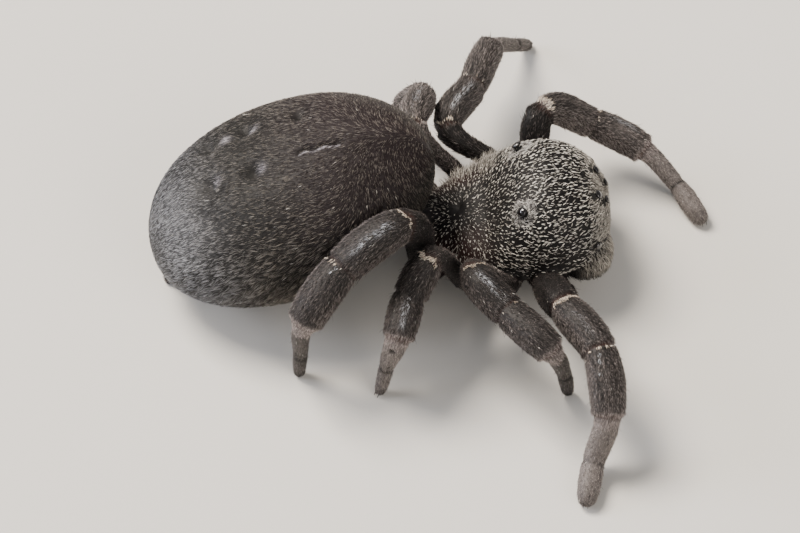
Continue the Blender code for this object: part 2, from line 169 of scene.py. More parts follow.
def eased_rows(rows: Array, x: Array) -> Array:
    """Values of a table at each x, on a smooth curve through its rows.

    Args:
        rows: the table, with x in its first column, in rising order.
        x: where to read it.

    Returns:
        The other columns' values, a row for each x.
    """
    x = np.clip(x, rows[0, 0], rows[-1, 0])
    spot = np.clip(np.searchsorted(rows[:, 0], x, side="right") - 1, 0, len(rows) - 2)
    low, high = rows[spot], rows[spot + 1]
    share = (x - low[:, 0]) / (high[:, 0] - low[:, 0])
    mix = 0.5 * (share + share * share * (3.0 - 2.0 * share))
    return low[:, 1:] + (high[:, 1:] - low[:, 1:]) * mix[:, None]


def mirror(side: int) -> Array:
    """Brings a place on the left side to side 1, the left, or -1, the right, by a product."""
    return np.array((1.0, side, 1.0))


@dataclass
class Reading:
    """Where points lie on a part of the body.

    part counts the stretches of a limb, share runs along it from 0 to 1, and turn is the angle about its
    length. place is in the part's own millimetres, but on a limb it is the distance from the last joint and
    the number of the nearest ring. unwrap is the part's own flat map.
    """

    part: Array
    share: Array
    turn: Array
    place: Array
    unwrap: Array

    @property
    def on_way(self) -> Array:
        """Stretches of a limb that lie behind each point."""
        return self.part + self.share

    def kept(self, chosen: Array) -> "Reading":
        """The reading of only some of the points."""
        rows = (self.part, self.share, self.turn, self.place, self.unwrap)
        return Reading(*(row[chosen] for row in rows))


def round_reading(place: Array, share: Array, turn: Array) -> Reading:
    """Reading of points on a form of one stretch, with a flat map of turn and share."""
    unwrap = np.stack((0.5 + turn / math.tau, share), axis=1)
    return Reading(np.zeros(len(place), int), share, turn, place, unwrap)


@dataclass(frozen=True)
class Pelt:
    """One kind of hair.

    density counts hairs on a square millimetre, and length and width are a hair's. lift is how many degrees
    it stands up, sway how many it strays to a side, and curl how much it bends back to the skin. tint gives
    the colours at root and tip, grows the share of hairs that stand, stretch a factor on their length, and
    lie the way they point where that isn't the part's own. A pelt with a lock_size gathers by lock_pull in
    locks of that width, and in one with a spacing no two hairs are nearer.
    """

    density: float
    length: tuple[float, float]
    width: float
    lift: float
    tint: Callable[[Reading, Array, Rng], Tints]
    shape: HairShape = HairShape.SPIKE
    curl: float = 0.10
    sway: float = 9.0
    lock_size: float = 0.0
    lock_pull: Callable[[Reading], Array] | None = None
    grows: Callable[[Reading, Array], Array] | None = None
    stretch: Callable[[Reading], Array] | None = None
    lie: Callable[[Array, Reading], Array] | None = None
    spacing: float = 0.0


class BodyPart:
    """A part of the body that the skin covers and hair grows on.

    Points are rows of places in millimetres in the row's frame, and their reading says where they lie.
    """

    name: str
    slot: Slot

    def forms(self) -> list[bpy.types.Mesh]:
        """Closed meshes of the part, a hair's depth inside its solids."""
        raise NotImplementedError

    def clearance(self, points: Array) -> Array:
        """Distance of each point outside the part's form, below zero inside."""
        raise NotImplementedError

    def read(self, points: Array) -> Reading:
        """Where points lie on the part."""
        raise NotImplementedError

    def lie(self, points: Array, reading: Reading) -> Array:
        """Way that the hair points at each place."""
        raise NotImplementedError

    def relief(self, points: Array, reading: Reading) -> Array:
        """How far the skin stands out or in at each place."""
        return np.zeros(len(points))

    def skin_tint(self, points: Array, reading: Reading) -> Array:
        """Colour of the bare skin, one for all or a row for each place."""
        raise NotImplementedError

    def pelts(self) -> list[Pelt]:
        """The kinds of hair that grow on the part."""
        return []


def finished_mesh(bm: bmesh.types.BMesh, name: str) -> bpy.types.Mesh:
    """Ends a bmesh as a mesh whose faces point outwards."""
    bmesh.ops.recalc_face_normals(bm, faces=bm.faces)
    mesh = bpy.data.meshes.new(name)
    bm.to_mesh(mesh)
    bm.free()
    return mesh


def ball_form(name: str, surface: Callable[[Array, Array], Array], around: int, along: int) -> bpy.types.Mesh:
    """A sphere whose points move to a surface given by station and angle.

    Args:
        name: the mesh's name.
        surface: gives places for stations from -1 to 1 and angles.
        around: points in a ring.
        along: rings from pole to pole.

    Returns:
        The closed mesh, in millimetres in the row's frame.
    """
    bm = bmesh.new()
    bmesh.ops.create_uvsphere(bm, u_segments=around, v_segments=along, radius=1.0)
    ball = np.array([vertex.co for vertex in bm.verts])
    places = surface(np.clip(ball[:, 2], -1.0, 1.0), np.arctan2(ball[:, 1], ball[:, 0]))
    for vertex, spot in zip(bm.verts, places):
        vertex.co = spot
    return finished_mesh(bm, name)


def girth_at(station: Array, bluntness: Array | float) -> Array:
    """Share of its girth that a rounded form has at stations from -1 to 1; bluntness fills its ends."""
    return np.maximum(0.0, 1.0 - np.abs(station) ** bluntness) ** (1.0 / bluntness)


def squared_reach(across: Array, up: Array, squareness: float) -> Array:
    """How far a ring reaches along each way, as a share of a circle's radius, with its corners filled."""
    return (np.abs(across) ** squareness + np.abs(up) ** squareness) ** (-1.0 / squareness)


def ring_frames(centres: Array, radii: Array) -> list[Matrix]:
    """A turned and scaled frame for each ring of a tube, carried along it without twist."""
    tangents = unit(np.gradient(centres, axis=0))
    # The slant keeps the first side way clear of an upright tube's own way
    slant = np.array((0.013, 0.007, 0.0))
    side = unit(np.cross(tangents[0], UP + slant))
    frames = []
    for centre, radius, tangent in zip(centres, radii, tangents):
        side = unit(side - tangent * np.dot(side, tangent))
        lift = np.cross(tangent, side)
        columns = [Vector(way * radius) for way in (side, lift, tangent)]
        turn = Matrix(columns).transposed().to_4x4()
        frames.append(Matrix.Translation(Vector(centre)) @ turn)
    return frames


def tube_form(name: str, centres: Array, radii: Array, sides: int) -> bpy.types.Mesh:
    """A closed tube: one circle, extruded from ring to ring.

    Args:
        name: the mesh's name.
        centres: middle of each ring.
        radii: radius of each ring.
        sides: points in a ring.

    Returns:
        The closed mesh.
    """
    bm = bmesh.new()
    frames = ring_frames(centres, radii)
    bmesh.ops.create_circle(bm, cap_ends=True, segments=sides, radius=1.0, matrix=frames[0])
    rim = list(bm.edges)
    for before, after in zip(frames, frames[1:]):
        made = bmesh.ops.extrude_edge_only(bm, edges=rim)["geom"]
        fresh = [part for part in made if isinstance(part, bmesh.types.BMVert)]
        bmesh.ops.transform(bm, matrix=after @ before.inverted(), verts=fresh)
        rim = [part for part in made if isinstance(part, bmesh.types.BMEdge) and part.is_boundary]
    bmesh.ops.holes_fill(bm, edges=rim, sides=0)
    return finished_mesh(bm, name)


def rounded_route(centres: Array, radii: Array, start_bulge: float, end_bulge: float) -> tuple[Array, Array]:
    """Adds round ends to a tube's rings.

    Args:
        centres: middle of each ring.
        radii: radius of each ring.
        start_bulge: how far the first end bulges, as a share of its radius.
        end_bulge: the same at the last end.

    Returns:
        The longer lists of centres and radii.
    """
    turns = np.radians((84.0, 68.0, 48.0, 25.0))
    back = unit(centres[0] - centres[1])
    ahead = unit(centres[-1] - centres[-2])
    first = centres[0] + back * (np.sin(turns) * radii[0] * start_bulge)[:, None]
    last = centres[-1] + ahead * (np.sin(turns[::-1]) * radii[-1] * end_bulge)[:, None]
    widths = np.concatenate((np.cos(turns) * radii[0], radii, np.cos(turns[::-1]) * radii[-1]))
    return np.vstack((first, centres, last)), widths


def knotted_curve(knots: Array, steps: int) -> Array:
    """Points on a smooth curve through a few knots, with so many steps from one to the next."""
    padded = np.vstack((knots[0], knots, knots[-1]))
    points = []
    for before, start, end, after in zip(padded, padded[1:], padded[2:], padded[3:]):
        for step in range(steps):
            t = step / steps
            points.append(0.5 * (
                2.0 * start + (end - before) * t
                + (2.0 * before - 5.0 * start + 4.0 * end - after) * t ** 2
                + (3.0 * start - before - 3.0 * end + after) * t ** 3
            ))
    return np.array([*points, knots[-1]])


def mesh_points(mesh: bpy.types.Mesh) -> Array:
    """Places of a mesh's vertices."""
    points = np.zeros(len(mesh.vertices) * 3)
    mesh.vertices.foreach_get("co", points)
    return points.reshape(-1, 3)


def mesh_normals(mesh: bpy.types.Mesh) -> Array:
    """Outward ways at a mesh's vertices."""
    normals = np.zeros(len(mesh.vertices) * 3)
    mesh.vertices.foreach_get("normal", normals)
    return normals.reshape(-1, 3)


def paint(mesh: bpy.types.Mesh, colours: Array) -> None:
    """Writes linear colours to a mesh, one for all its vertices or one for each."""
    layer = mesh.attributes.new(COLOUR_LAYER, "FLOAT_COLOR", "POINT")
    rgba = np.ones((len(mesh.vertices), 4), np.float32)
    rgba[:, :3] = colours
    layer.data.foreach_set("color", rgba.ravel())


def joined_mesh(meshes: Sequence[bpy.types.Mesh], name: str) -> bpy.types.Mesh:
    """Several meshes as one."""
    bm = bmesh.new()
    for mesh in meshes:
        bm.from_mesh(mesh)
        bpy.data.meshes.remove(mesh)
    joined = bpy.data.meshes.new(name)
    bm.to_mesh(joined)
    bm.free()
    return joined


def scene_object(name: str, data: bpy.types.ID) -> bpy.types.Object:
    """A new object in the scene."""
    made = bpy.data.objects.new(name, data)
    bpy.context.scene.collection.objects.link(made)
    return made


def settled_piece(mesh: bpy.types.Mesh, material: bpy.types.Material) -> bpy.types.Object:
    """Brings a finished mesh from millimetres to metres and makes it a piece that rides on the body.

    Args:
        mesh: the mesh in millimetres in the row's frame.
        material: its finish.

    Returns:
        The piece.
    """
    mesh.transform(Matrix.Scale(MM, 4))
    mesh.materials.clear()
    mesh.materials.append(material)
    piece = scene_object(mesh.name, mesh)
    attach(piece, "root")
    return piece


def new_material(name: str, sockets: dict) -> tuple[bpy.types.Material, bpy.types.NodeTree, bpy.types.Node]:
    """Starts a material with values on its shader's own sockets.

    Args:
        name: the material's name.
        sockets: the values by socket name.

    Returns:
        The material, its node tree and its shader.
    """
    material = bpy.data.materials.new(name)
    material.use_nodes = True
    shader = material.node_tree.nodes["Principled BSDF"]
    for socket, value in sockets.items():
        shader.inputs[socket].default_value = value
    return material, material.node_tree, shader


def add_node(tree: bpy.types.NodeTree, kind: str, settings: dict | None = None, links: dict | None = None,
             ) -> bpy.types.Node:
    """Adds a node with its settings and links.

    Args:
        tree: the node tree.
        kind: the node's type name.
        settings: values of its properties and, by socket name, of its inputs.
        links: for each input, by name or number, the output that feeds it.

    Returns:
        The node.
    """
    node = tree.nodes.new(kind)
    for name, value in (settings or {}).items():
        if isinstance(name, str) and hasattr(node, name):
            setattr(node, name, value)
        else:
            node.inputs[name].default_value = value
    for name, source in (links or {}).items():
        tree.links.new(source, node.inputs[name])
    return node


def pattern_scale(size: float) -> float:
    """Scale of a texture whose features are this many millimetres across."""
    return 1.0 / (size * MM)


@dataclass(frozen=True)
class CuticleFinish:
    """Living horn of a spider's skin, smooth between fine grains: a dull gloss under the coat."""

    name: str = "granular_cuticle"
    roughness: float = 0.55
    specular: float = 0.25
    grain_size: float = 0.06
    grain_depth: float = 0.010
    mottle_size: float = 0.45

    def material(self) -> bpy.types.Material:
        """Builds the material, which reads the skin's painted colours."""
        material, tree, shader = new_material(self.name, {"Specular IOR Level": self.specular})
        spot = add_node(tree, "ShaderNodeTexCoord").outputs["Object"]
        painted = add_node(tree, "ShaderNodeAttribute", {"attribute_name": COLOUR_LAYER}).outputs["Color"]
        mottle = add_node(tree, "ShaderNodeTexNoise",
                          {"Scale": pattern_scale(self.mottle_size), "Detail": 4.0},
                          {"Vector": spot}).outputs["Fac"]
        shade = add_node(tree, "ShaderNodeMapRange", {"To Min": 0.65, "To Max": 1.4}, {"Value": mottle})
        tint = add_node(tree, "ShaderNodeMix", {"data_type": "RGBA", "blend_type": "MULTIPLY", 0: 1.0},
                        {6: painted, 7: shade.outputs[0]})
        grain = add_node(tree, "ShaderNodeTexVoronoi", {"Scale": pattern_scale(self.grain_size)},
                         {"Vector": spot}).outputs["Distance"]
        bump = add_node(tree, "ShaderNodeBump", {"Strength": 0.6, "Distance": self.grain_depth * MM},
                        {"Height": grain})
        gloss = add_node(tree, "ShaderNodeMapRange",
                         {"To Min": self.roughness - 0.1, "To Max": self.roughness + 0.16}, {"Value": mottle})
        tree.links.new(tint.outputs[2], shader.inputs["Base Color"])
        tree.links.new(gloss.outputs[0], shader.inputs["Roughness"])
        tree.links.new(bump.outputs[0], shader.inputs["Normal"])
        return material


@dataclass(frozen=True)
class HairFinish:
    """Stiff dry hair: each hair has its own colour from root to tip and glints along one side."""

    name: str = "velvet_hair"
    roughness: float = 0.45
    specular: float = 0.14

    def material(self) -> bpy.types.Material:
        """Builds the material, which reads each hair's painted colours."""
        material, tree, shader = new_material(self.name, {"Specular IOR Level": self.specular,
                                                          "Roughness": self.roughness})
        painted = add_node(tree, "ShaderNodeAttribute", {"attribute_name": COLOUR_LAYER}).outputs["Color"]
        tree.links.new(painted, shader.inputs["Base Color"])
        return material


@dataclass(frozen=True)
class HornFinish:
    """Hard polished horn of fangs and claws: wet gloss over a colour that darkens to the tip."""

    name: str
    root: str
    tip: str
    roughness: float
    streak_size: float = 0.08

    def material(self) -> bpy.types.Material:
        """Builds the material, with fine streaks in its colour and gloss."""
        material, tree, shader = new_material(self.name, {"Coat Weight": 0.5, "Coat Roughness": 0.08})
        spot = add_node(tree, "ShaderNodeTexCoord").outputs["Object"]
        streak = add_node(tree, "ShaderNodeTexNoise",
                          {"Scale": pattern_scale(self.streak_size), "Detail": 3.0},
                          {"Vector": spot}).outputs["Fac"]
        painted = add_node(tree, "ShaderNodeAttribute", {"attribute_name": COLOUR_LAYER}).outputs["Fac"]
        tint = add_node(tree, "ShaderNodeMix",
                        {"data_type": "RGBA", 6: (*linear(self.root), 1.0), 7: (*linear(self.tip), 1.0)},
                        {0: painted})
        shade = add_node(tree, "ShaderNodeMapRange", {"To Min": 0.7, "To Max": 1.3}, {"Value": streak})
        both = add_node(tree, "ShaderNodeMix", {"data_type": "RGBA", "blend_type": "MULTIPLY", 0: 1.0},
                        {6: tint.outputs[2], 7: shade.outputs[0]})
        gloss = add_node(tree, "ShaderNodeMapRange",
                         {"To Min": self.roughness - 0.06, "To Max": self.roughness + 0.1}, {"Value": streak})
        tree.links.new(both.outputs[2], shader.inputs["Base Color"])
        tree.links.new(gloss.outputs[0], shader.inputs["Roughness"])
        return material


@dataclass(frozen=True)
class LensFinish:
    """Clear cornea over a black cup: a wet black bead with sharp highlights."""

    name: str = "cornea_over_black_cup"
    roughness: float = 0.05
    haze_size: float = 0.10

    def material(self) -> bpy.types.Material:
        """Builds the material, with a faint cloud deep in the black."""
        material, tree, shader = new_material(self.name, {"Roughness": self.roughness, "IOR": 1.5,
                                                          "Coat Weight": 1.0, "Coat Roughness": 0.02})
        spot = add_node(tree, "ShaderNodeTexCoord").outputs["Object"]
        haze = add_node(tree, "ShaderNodeTexNoise", {"Scale": pattern_scale(self.haze_size)},
                        {"Vector": spot}).outputs["Fac"]
        tint = add_node(tree, "ShaderNodeMix",
                        {"data_type": "RGBA", 6: (*linear("#050406"), 1.0), 7: (*linear("#140d0b"), 1.0)},
                        {0: haze})
        tree.links.new(tint.outputs[2], shader.inputs["Base Color"])
        return material


@dataclass
class Abdomen(BodyPart):
    """The large egg of the abdomen, which carries its front end high.

    pits are the hollows of the back, darkened with painted shade, spots the patches beside them, painted pale
    as highlights, and crease the ends of its crease, painted pale as a highlight along its lip with painted
    shade beside it, each so far ahead of the middle and so far to the left of it.
    """

    name: str = "abdomen"
    slot: Slot = Slot.ABDOMEN
    centre: Place = (-4.04, 0.05, 3.05)
    half_sizes: Place = (4.56, 3.35, 2.40)
    mean_radius: float = 2.8
    pitch: float = 20.0
    yaw: float = 5.0
    bluntness: float = 2.15
    front_taper: float = 0.10
    coat_depth: float = 0.075
    pits: tuple[tuple[float, float], ...] = (
        (1.15, 1.37), (-0.46, -0.46), (-0.55, 1.40), (-1.88, -0.28), (-1.80, 1.39),
    )
    spots: tuple[tuple[float, float], ...] = ((-0.12, -0.42), (-0.22, 1.34), (-1.60, -0.22), (-1.10, 1.24))
    crease: tuple[tuple[float, float], tuple[float, float]] = ((1.05, -0.41), (2.27, -0.31))
    # Place and reach of the sheen painted into the pale hair of the rear
    painted_sheen_centre: Place = (-3.3, -0.8, 1.5)
    painted_sheen_reach: Place = (1.35, 2.0, 1.35)
    pressing: list["Limb"] = field(default_factory=list)
    press_gap: float = 0.14
    press_step: float = 0.02
    press_rounds: int = 50

    def axes(self) -> Array:
        """Turn from the abdomen's own axes to the body's."""
        pitch = Matrix.Rotation(math.radians(-self.pitch), 3, "Y")
        yaw = Matrix.Rotation(math.radians(self.yaw), 3, "Z")
        return np.array(yaw @ pitch)

    def surface(self, station: Array, angle: Array) -> Array:
        """Places on the abdomen's skin."""
        length, width, height = (size - self.coat_depth for size in self.half_sizes)
        taper = 1.0 - self.front_taper * np.maximum(0.0, station) ** 2
        girth = girth_at(station, self.bluntness) * taper
        own = np.stack((length * station, width * girth * np.cos(angle), height * girth * np.sin(angle)),
                       axis=1)
        return own @ self.axes().T + np.array(self.centre) + WAIST

    def forms(self) -> list[bpy.types.Mesh]:
        """The egg, pressed in where a leg lies against it."""
        mesh = ball_form("abdomen_form", self.surface, around=144, along=110)
        points = mesh_points(mesh)
        inward = -unit(points - (np.array(self.centre) + WAIST))
        for _ in range(self.press_rounds):
            need = np.full(len(points), -1.0)
            for limb in self.pressing:
                need = np.maximum(need, self.press_gap - limb.clearance(points))
            points = points + inward * np.clip(need, 0.0, self.press_step)[:, None]
        mesh.vertices.foreach_set("co", points.astype(np.float32).ravel())
        return [mesh]

    def own_places(self, points: Array) -> Array:
        """Points in the abdomen's own axes."""
        return (points - WAIST - np.array(self.centre)) @ self.axes()

    def clearance(self, points: Array) -> Array:
        """Distance outside the egg, near enough."""
        own = self.own_places(points)
        station = own[:, 0] / self.half_sizes[0]
        taper = 1.0 - self.front_taper * np.maximum(0.0, np.minimum(station, 1.0)) ** 2
        ring = np.hypot(own[:, 1] / (self.half_sizes[1] * taper), own[:, 2] / (self.half_sizes[2] * taper))
        fill = (np.abs(station) ** self.bluntness + ring ** self.bluntness) ** (1.0 / self.bluntness)
        return (fill - 1.0) * self.mean_radius

    def read(self, points: Array) -> Reading:
        """Station along the egg and angle about it."""
        own = self.own_places(points)
        turn = np.arctan2(own[:, 2] / self.half_sizes[2], own[:, 1] / self.half_sizes[1])
        return round_reading(own, np.clip(0.5 + 0.5 * own[:, 0] / self.half_sizes[0], 0.0, 1.0), turn)

    def flank(self, reading: Reading) -> Array:
        """1 on the lower flanks, where the coat is combed down and back."""
        low = ease(0.85, -0.2, np.sin(reading.turn)) * ease(-0.98, -0.6, np.sin(reading.turn))
        return low * ease(0.98, 0.55, reading.share)

    def lie(self, points: Array, reading: Reading) -> Array:
        """Hair runs from front to rear, round the front end itself, and down and back on the flanks."""
        front = ease(0.64, 0.86, reading.share)
        back = np.tile(-self.axes()[:, 0], (len(points), 1)) * (1.0 - 0.7 * front)[:, None]
        wave = ripple(points, 1.5, 11) * 0.12
        aside = np.cross(back, UP)
        across, up = np.cos(reading.turn), np.sin(reading.turn)
        round_front = np.stack((np.zeros(len(points)), across * up, -across ** 2), axis=1) @ self.axes().T
        fall = 0.55 * self.flank(reading)
        return back - UP * fall[:, None] + aside * wave[:, None] + round_front * (2.2 * front)[:, None]

    def mark_share(self, reading: Reading, marks: Sequence[tuple[float, float]], spread: float) -> Array:
        """1 in the middle of each of some marks of the back, fading over spread."""
        total = np.zeros(len(reading.share))
        for x, y in marks:
            away = (reading.place[:, 0] - x) ** 2 + (reading.place[:, 1] - y) ** 2
            total = np.maximum(total, np.exp(-away / spread ** 2))
        return total * (reading.place[:, 2] > 0.0)

    def crease_share(self, reading: Reading, spread: float, aside: float = 0.0) -> Array:
        """1 along the short wavy crease of the back, moved aside to the left, fading over spread."""
        start, end = np.array(self.crease[0]), np.array(self.crease[1])
        flat = reading.place[:, :2] - np.array((0.0, aside))
        flat = flat - np.stack((np.zeros(len(flat)), 0.035 * np.sin(flat[:, 0] * 11.0)), axis=1)
        along = np.clip((flat - start) @ (end - start) / np.dot(end - start, end - start), 0.0, 1.0)
        away = np.linalg.norm(flat - start - along[:, None] * (end - start), axis=1)
        return bell(away / spread) * (reading.place[:, 2] > 0.0)

    def painted_shade_share(self, reading: Reading) -> Array:
        """1 in the painted shade of the hollows and beside the crease."""
        return np.maximum(self.mark_share(reading, self.pits, 0.27),
                          0.8 * self.crease_share(reading, 0.06, 0.13))

    def pale_share(self, reading: Reading) -> Array:
        """1 on the painted highlights: the spots beside the hollows and the lip of the crease."""
        return np.maximum(self.mark_share(reading, self.spots, 0.17), self.crease_share(reading, 0.05))

    def relief(self, points: Array, reading: Reading) -> Array:
        """Muscle pits in wide dents, a crease and the slight unevenness of a full soft skin."""
        pits = -0.10 * self.mark_share(reading, self.pits, 0.20)
        dents = -0.16 * self.mark_share(reading, self.pits, 0.45)
        crease = -0.09 * self.crease_share(reading, 0.09, 0.10)
        return pits + dents + crease + 0.018 * ripple(points, 1.9, 5)

    def greyness(self, points: Array, reading: Reading) -> Array:
        """Share of pale hair: most at the rear, where the pale hair paints a sheen, least at the front end.
        """
        away = (reading.place - np.array(self.painted_sheen_centre)) / np.array(self.painted_sheen_reach)
        # Painted sheen: pale hair at the rear stands in for the light that shines there
        sheen = np.exp(-(away ** 2).sum(axis=1))
        front = ease(0.62, 0.95, reading.share)
        share = 0.22 + 0.95 * sheen - 0.03 * front + 0.42 * self.flank(reading)
        return np.clip(share * (1.0 + 0.20 * ripple(points, 0.9, 21)), 0.0, 1.0)

    def tone(self, reading: Reading) -> Array:
        """Colour of the coat's ground: black, a little purple ahead, and near black in the painted shade of
        the hollows.
        """
        purple = ease(0.40, 0.75, reading.share) * ease(0.0, 0.6, np.sin(reading.turn))
        tone = blend(linear("#131212"), linear("#1f1418"), purple)
        # Painted shade: the hollows and the side of the crease go near black
        return blend(tone, linear("#060505"), 0.8 * self.painted_shade_share(reading))

    def grey(self, reading: Reading) -> Array:
        """Colour of the pale hair, cooler at the rear, where it paints the bluish sheen."""
        return blend(linear("#aea69c"), linear("#c9cace"), ease(0.45, 0.10, reading.share))

    def skin_tint(self, points: Array, reading: Reading) -> Array:
        """Black skin with brown book-lung covers under the front end."""
        # The tone carries the painted shade of the hollows, and the greyness a little painted sheen
        tint = blend(self.tone(reading) * 0.6, self.grey(reading), 0.05 * self.greyness(points, reading))
        x, y, z = reading.place.T
        covers = bell((x - 2.6) / 0.7, (np.abs(y) - 1.1) / 0.5) * (z < 0.0)
        return blend(tint, linear("#4a3527"), covers)

    def ground_tint(self, reading: Reading, points: Array, rng: Rng) -> Tints:
        """Colours of the deep velvet."""
        tone, grey = self.tone(reading), self.grey(reading)
        # Fewer pale tips where shade is painted in the hollows
        share = self.greyness(points, reading) * (1.0 - self.painted_shade_share(reading))
        tip = blend(tone, grey, np.clip(0.45 * share * rng.uniform(0.0, 1.6, len(points)), 0.0, 1.0))
        # Painted highlights on the spots beside the hollows and on the crease
        tip = blend(tip, linear("#cfc8cc"), 0.7 * self.pale_share(reading))
        return blend(tone, tip, 0.25 * share + 0.5 * self.pale_share(reading)), tip

    def light_tint(self, reading: Reading, points: Array, rng: Rng) -> Tints:
        """Colours of the longer hairs, some dark, some pale and a few nearly white ones that paint glints."""
        tone, grey = self.tone(reading), self.grey(reading)
        # Fewer pale tips where shade is painted in the hollows
        share = self.greyness(points, reading) * (1.0 - 0.9 * self.painted_shade_share(reading))
        share = np.clip(share * (1.0 + 0.8 * self.flank(reading) * ripple(points, 0.13, 53)), 0.0, 1.0)
        draw, depth = rng.uniform(size=(2, len(points)))
        pale = np.where(draw < 0.30 + 0.60 * share, 0.30 + 0.45 * share + 0.35 * depth, 0.16 * depth)
        tip = blend(tone, grey, np.clip(pale, 0.0, 1.0))
        # Painted highlights on the spots beside the hollows and on the crease
        tip = blend(tip, linear("#ddd8db"), 0.85 * self.pale_share(reading))
        # Painted glints: a few nearly white tips
        tip[draw > 0.9975] = linear("#fbf6ec")
        return blend(tone, tip, 0.30), tip

    def pelts(self) -> list[Pelt]:
        """Deep velvet, and longer hairs over it that gather in locks on the flanks."""
        def reach(reading: Reading) -> Array:
            return 1.0 + 1.25 * self.flank(reading) - 0.45 * self.mark_share(reading, self.pits, 0.22)

        def pull(reading: Reading) -> Array:
            return 0.15 + 0.60 * self.flank(reading)

        def less_below(reading: Reading, points: Array) -> Array:
            return 0.55 + 0.45 * ease(-0.75, -0.35, np.sin(reading.turn))

        ground = Pelt(density=540.0, length=(0.12, 0.18), width=0.022, lift=10.0, tint=self.ground_tint,
                      grows=less_below, stretch=reach)
        cover = Pelt(density=350.0, length=(0.12, 0.21), width=0.017, lift=12.0, tint=self.light_tint,
                     shape=HairShape.BENT, grows=less_below, stretch=reach, lock_size=0.22, lock_pull=pull,
                     sway=6.0, curl=0.12)
        return [ground, cover]


@dataclass
class Shield(BodyPart):
    """Head and thorax in one shield, from its rear edge to the brow.

    rows hold a distance ahead of the waist and, there, the half width and the levels of top and underside.
    """

    name: str = "shield"
    slot: Slot = Slot.SHIELD
    rear: float = -0.35
    front: float = 5.54
    rear_bluntness: float = 2.3
    front_bluntness: float = 3.0
    squareness: float = 2.3
    waist_level: float = 1.70
    brow_level: float = 1.95
    mean_radius: float = 2.0
    coat_depth: float = 0.055
    rows: tuple[tuple[float, float, float, float], ...] = (
        (-0.35, 1.60, 2.30, 1.20),
        (0.60, 1.90, 2.43, 1.05),
        (1.70, 2.18, 2.74, 0.95),
        (2.30, 2.27, 3.40, 0.90),
        (2.90, 2.30, 3.88, 0.90),
        (3.60, 2.30, 4.10, 0.95),
        (4.50, 2.28, 4.05, 1.10),
        (5.60, 2.15, 3.55, 1.30),
    )
    fovea: Place = (0.95, 0.0, 2.45)
    brow: Place = (5.52, 0.0, 3.05)
    eyes: list["Eye"] = field(default_factory=list)

    def sections(self, x: Array) -> tuple[Array, Array, Array, Array, Array]:
        """Half width, level of the widest line, height over it and depth under it, and station, at x."""
        rows = eased_rows(np.array(self.rows), x)
        station = 2.0 * (x - self.rear) / (self.front - self.rear) - 1.0
        level = self.waist_level + (self.brow_level - self.waist_level) * (station + 1.0) / 2.0
        return rows[:, 0], level, rows[:, 1] - level, level - rows[:, 2], station

    def surface(self, station: Array, angle: Array) -> Array:
        """Places on the shield's skin."""
        depth = self.coat_depth
        x = self.rear + depth + (self.front - self.rear - 2.0 * depth) * (station + 1.0) / 2.0
        half_width, level, over, under, _ = self.sections(x)
        girth = girth_at(station, np.where(station > 0.0, self.front_bluntness, self.rear_bluntness))
        across, up = np.cos(angle), np.sin(angle)
        stretch = squared_reach(across, up, self.squareness)
        height = np.where(up > 0.0, over, under) - depth
        y = (half_width - depth) * girth * across * stretch
        return np.stack((x, y, level + height * girth * up * stretch), axis=1) + WAIST

    def forms(self) -> list[bpy.types.Mesh]:
        """The shield's closed form."""
        return [ball_form("shield_form", self.surface, around=112, along=84)]

    def clearance(self, points: Array) -> Array:
        """Distance outside the shield, near enough."""
        place = points - WAIST
        half_width, level, over, under, station = self.sections(place[:, 0])
        rise = place[:, 2] - level
        up = rise / np.where(rise > 0.0, over, under)
        power = self.squareness
        ring = (np.abs(place[:, 1] / half_width) ** power + np.abs(up) ** power) ** (1.0 / power)
        blunt = np.where(station > 0.0, self.front_bluntness, self.rear_bluntness)
        return ((np.abs(station) ** blunt + ring ** blunt) ** (1.0 / blunt) - 1.0) * self.mean_radius

    def read(self, points: Array) -> Reading:
        """Station along the shield and angle about it."""
        place = points - WAIST
        half_width, level, over, under, station = self.sections(place[:, 0])
        rise = place[:, 2] - level
        turn = np.arctan2(rise / np.where(rise > 0.0, over, under), place[:, 1] / half_width)
        return round_reading(place, np.clip(0.5 + 0.5 * station, 0.0, 1.0), turn)

    def lie(self, points: Array, reading: Reading) -> Array:
        """Hair spreads from the fovea, and over the head draws together again at the front eyes."""
        place = reading.place
        out = place - np.array(self.fovea)
        home = np.array(self.brow) - place
        spread = out / np.maximum((out ** 2).sum(axis=1, keepdims=True), 0.05)
        gather = home / np.maximum((home ** 2).sum(axis=1, keepdims=True), 0.05)
        head = ease(0.9, 2.6, place[:, 0]) * ease(0.9, 2.2, place[:, 2])
        return spread + gather * head[:, None] + np.array((0.0, 0.0, -0.02))

    def eye_share(self, points: Array, reach: float) -> Array:
        """1 at the rim of each eye, fading out over reach."""
        total = np.zeros(len(points))
        for eye in self.eyes:
            total = np.maximum(total, np.exp(-np.maximum(eye.clearance(points), 0.0) / reach))
        return total

    def relief(self, points: Array, reading: Reading) -> Array:
        """The fovea's pit, the neck groove, faint furrows to the legs and the hollows of the brow eyes."""
        place = reading.place
        away = place[:, :2] - np.array(self.fovea[:2])
        reach = np.linalg.norm(away, axis=1)
        bearing = np.arctan2(np.abs(away[:, 1]), away[:, 0])
        fovea = -0.09 * bell(away[:, 0] / 0.14, away[:, 1] / 0.20)
        furrows = sum(bell((bearing - way) / 0.11) for way in (1.25, 1.85, 2.45))
        furrows = -0.03 * furrows * ease(0.2, 0.6, reach) * ease(1.9, 1.2, reach)
        neck = -0.03 * bell((place[:, 0] - 2.05 - 0.12 * np.abs(place[:, 1])) / 0.20)
        lines = (fovea + furrows + neck) * ease(1.6, 2.2, place[:, 2])
        return lines - 0.075 * self.hollow_share(reading) + 0.010 * ripple(points, 0.8, 3)

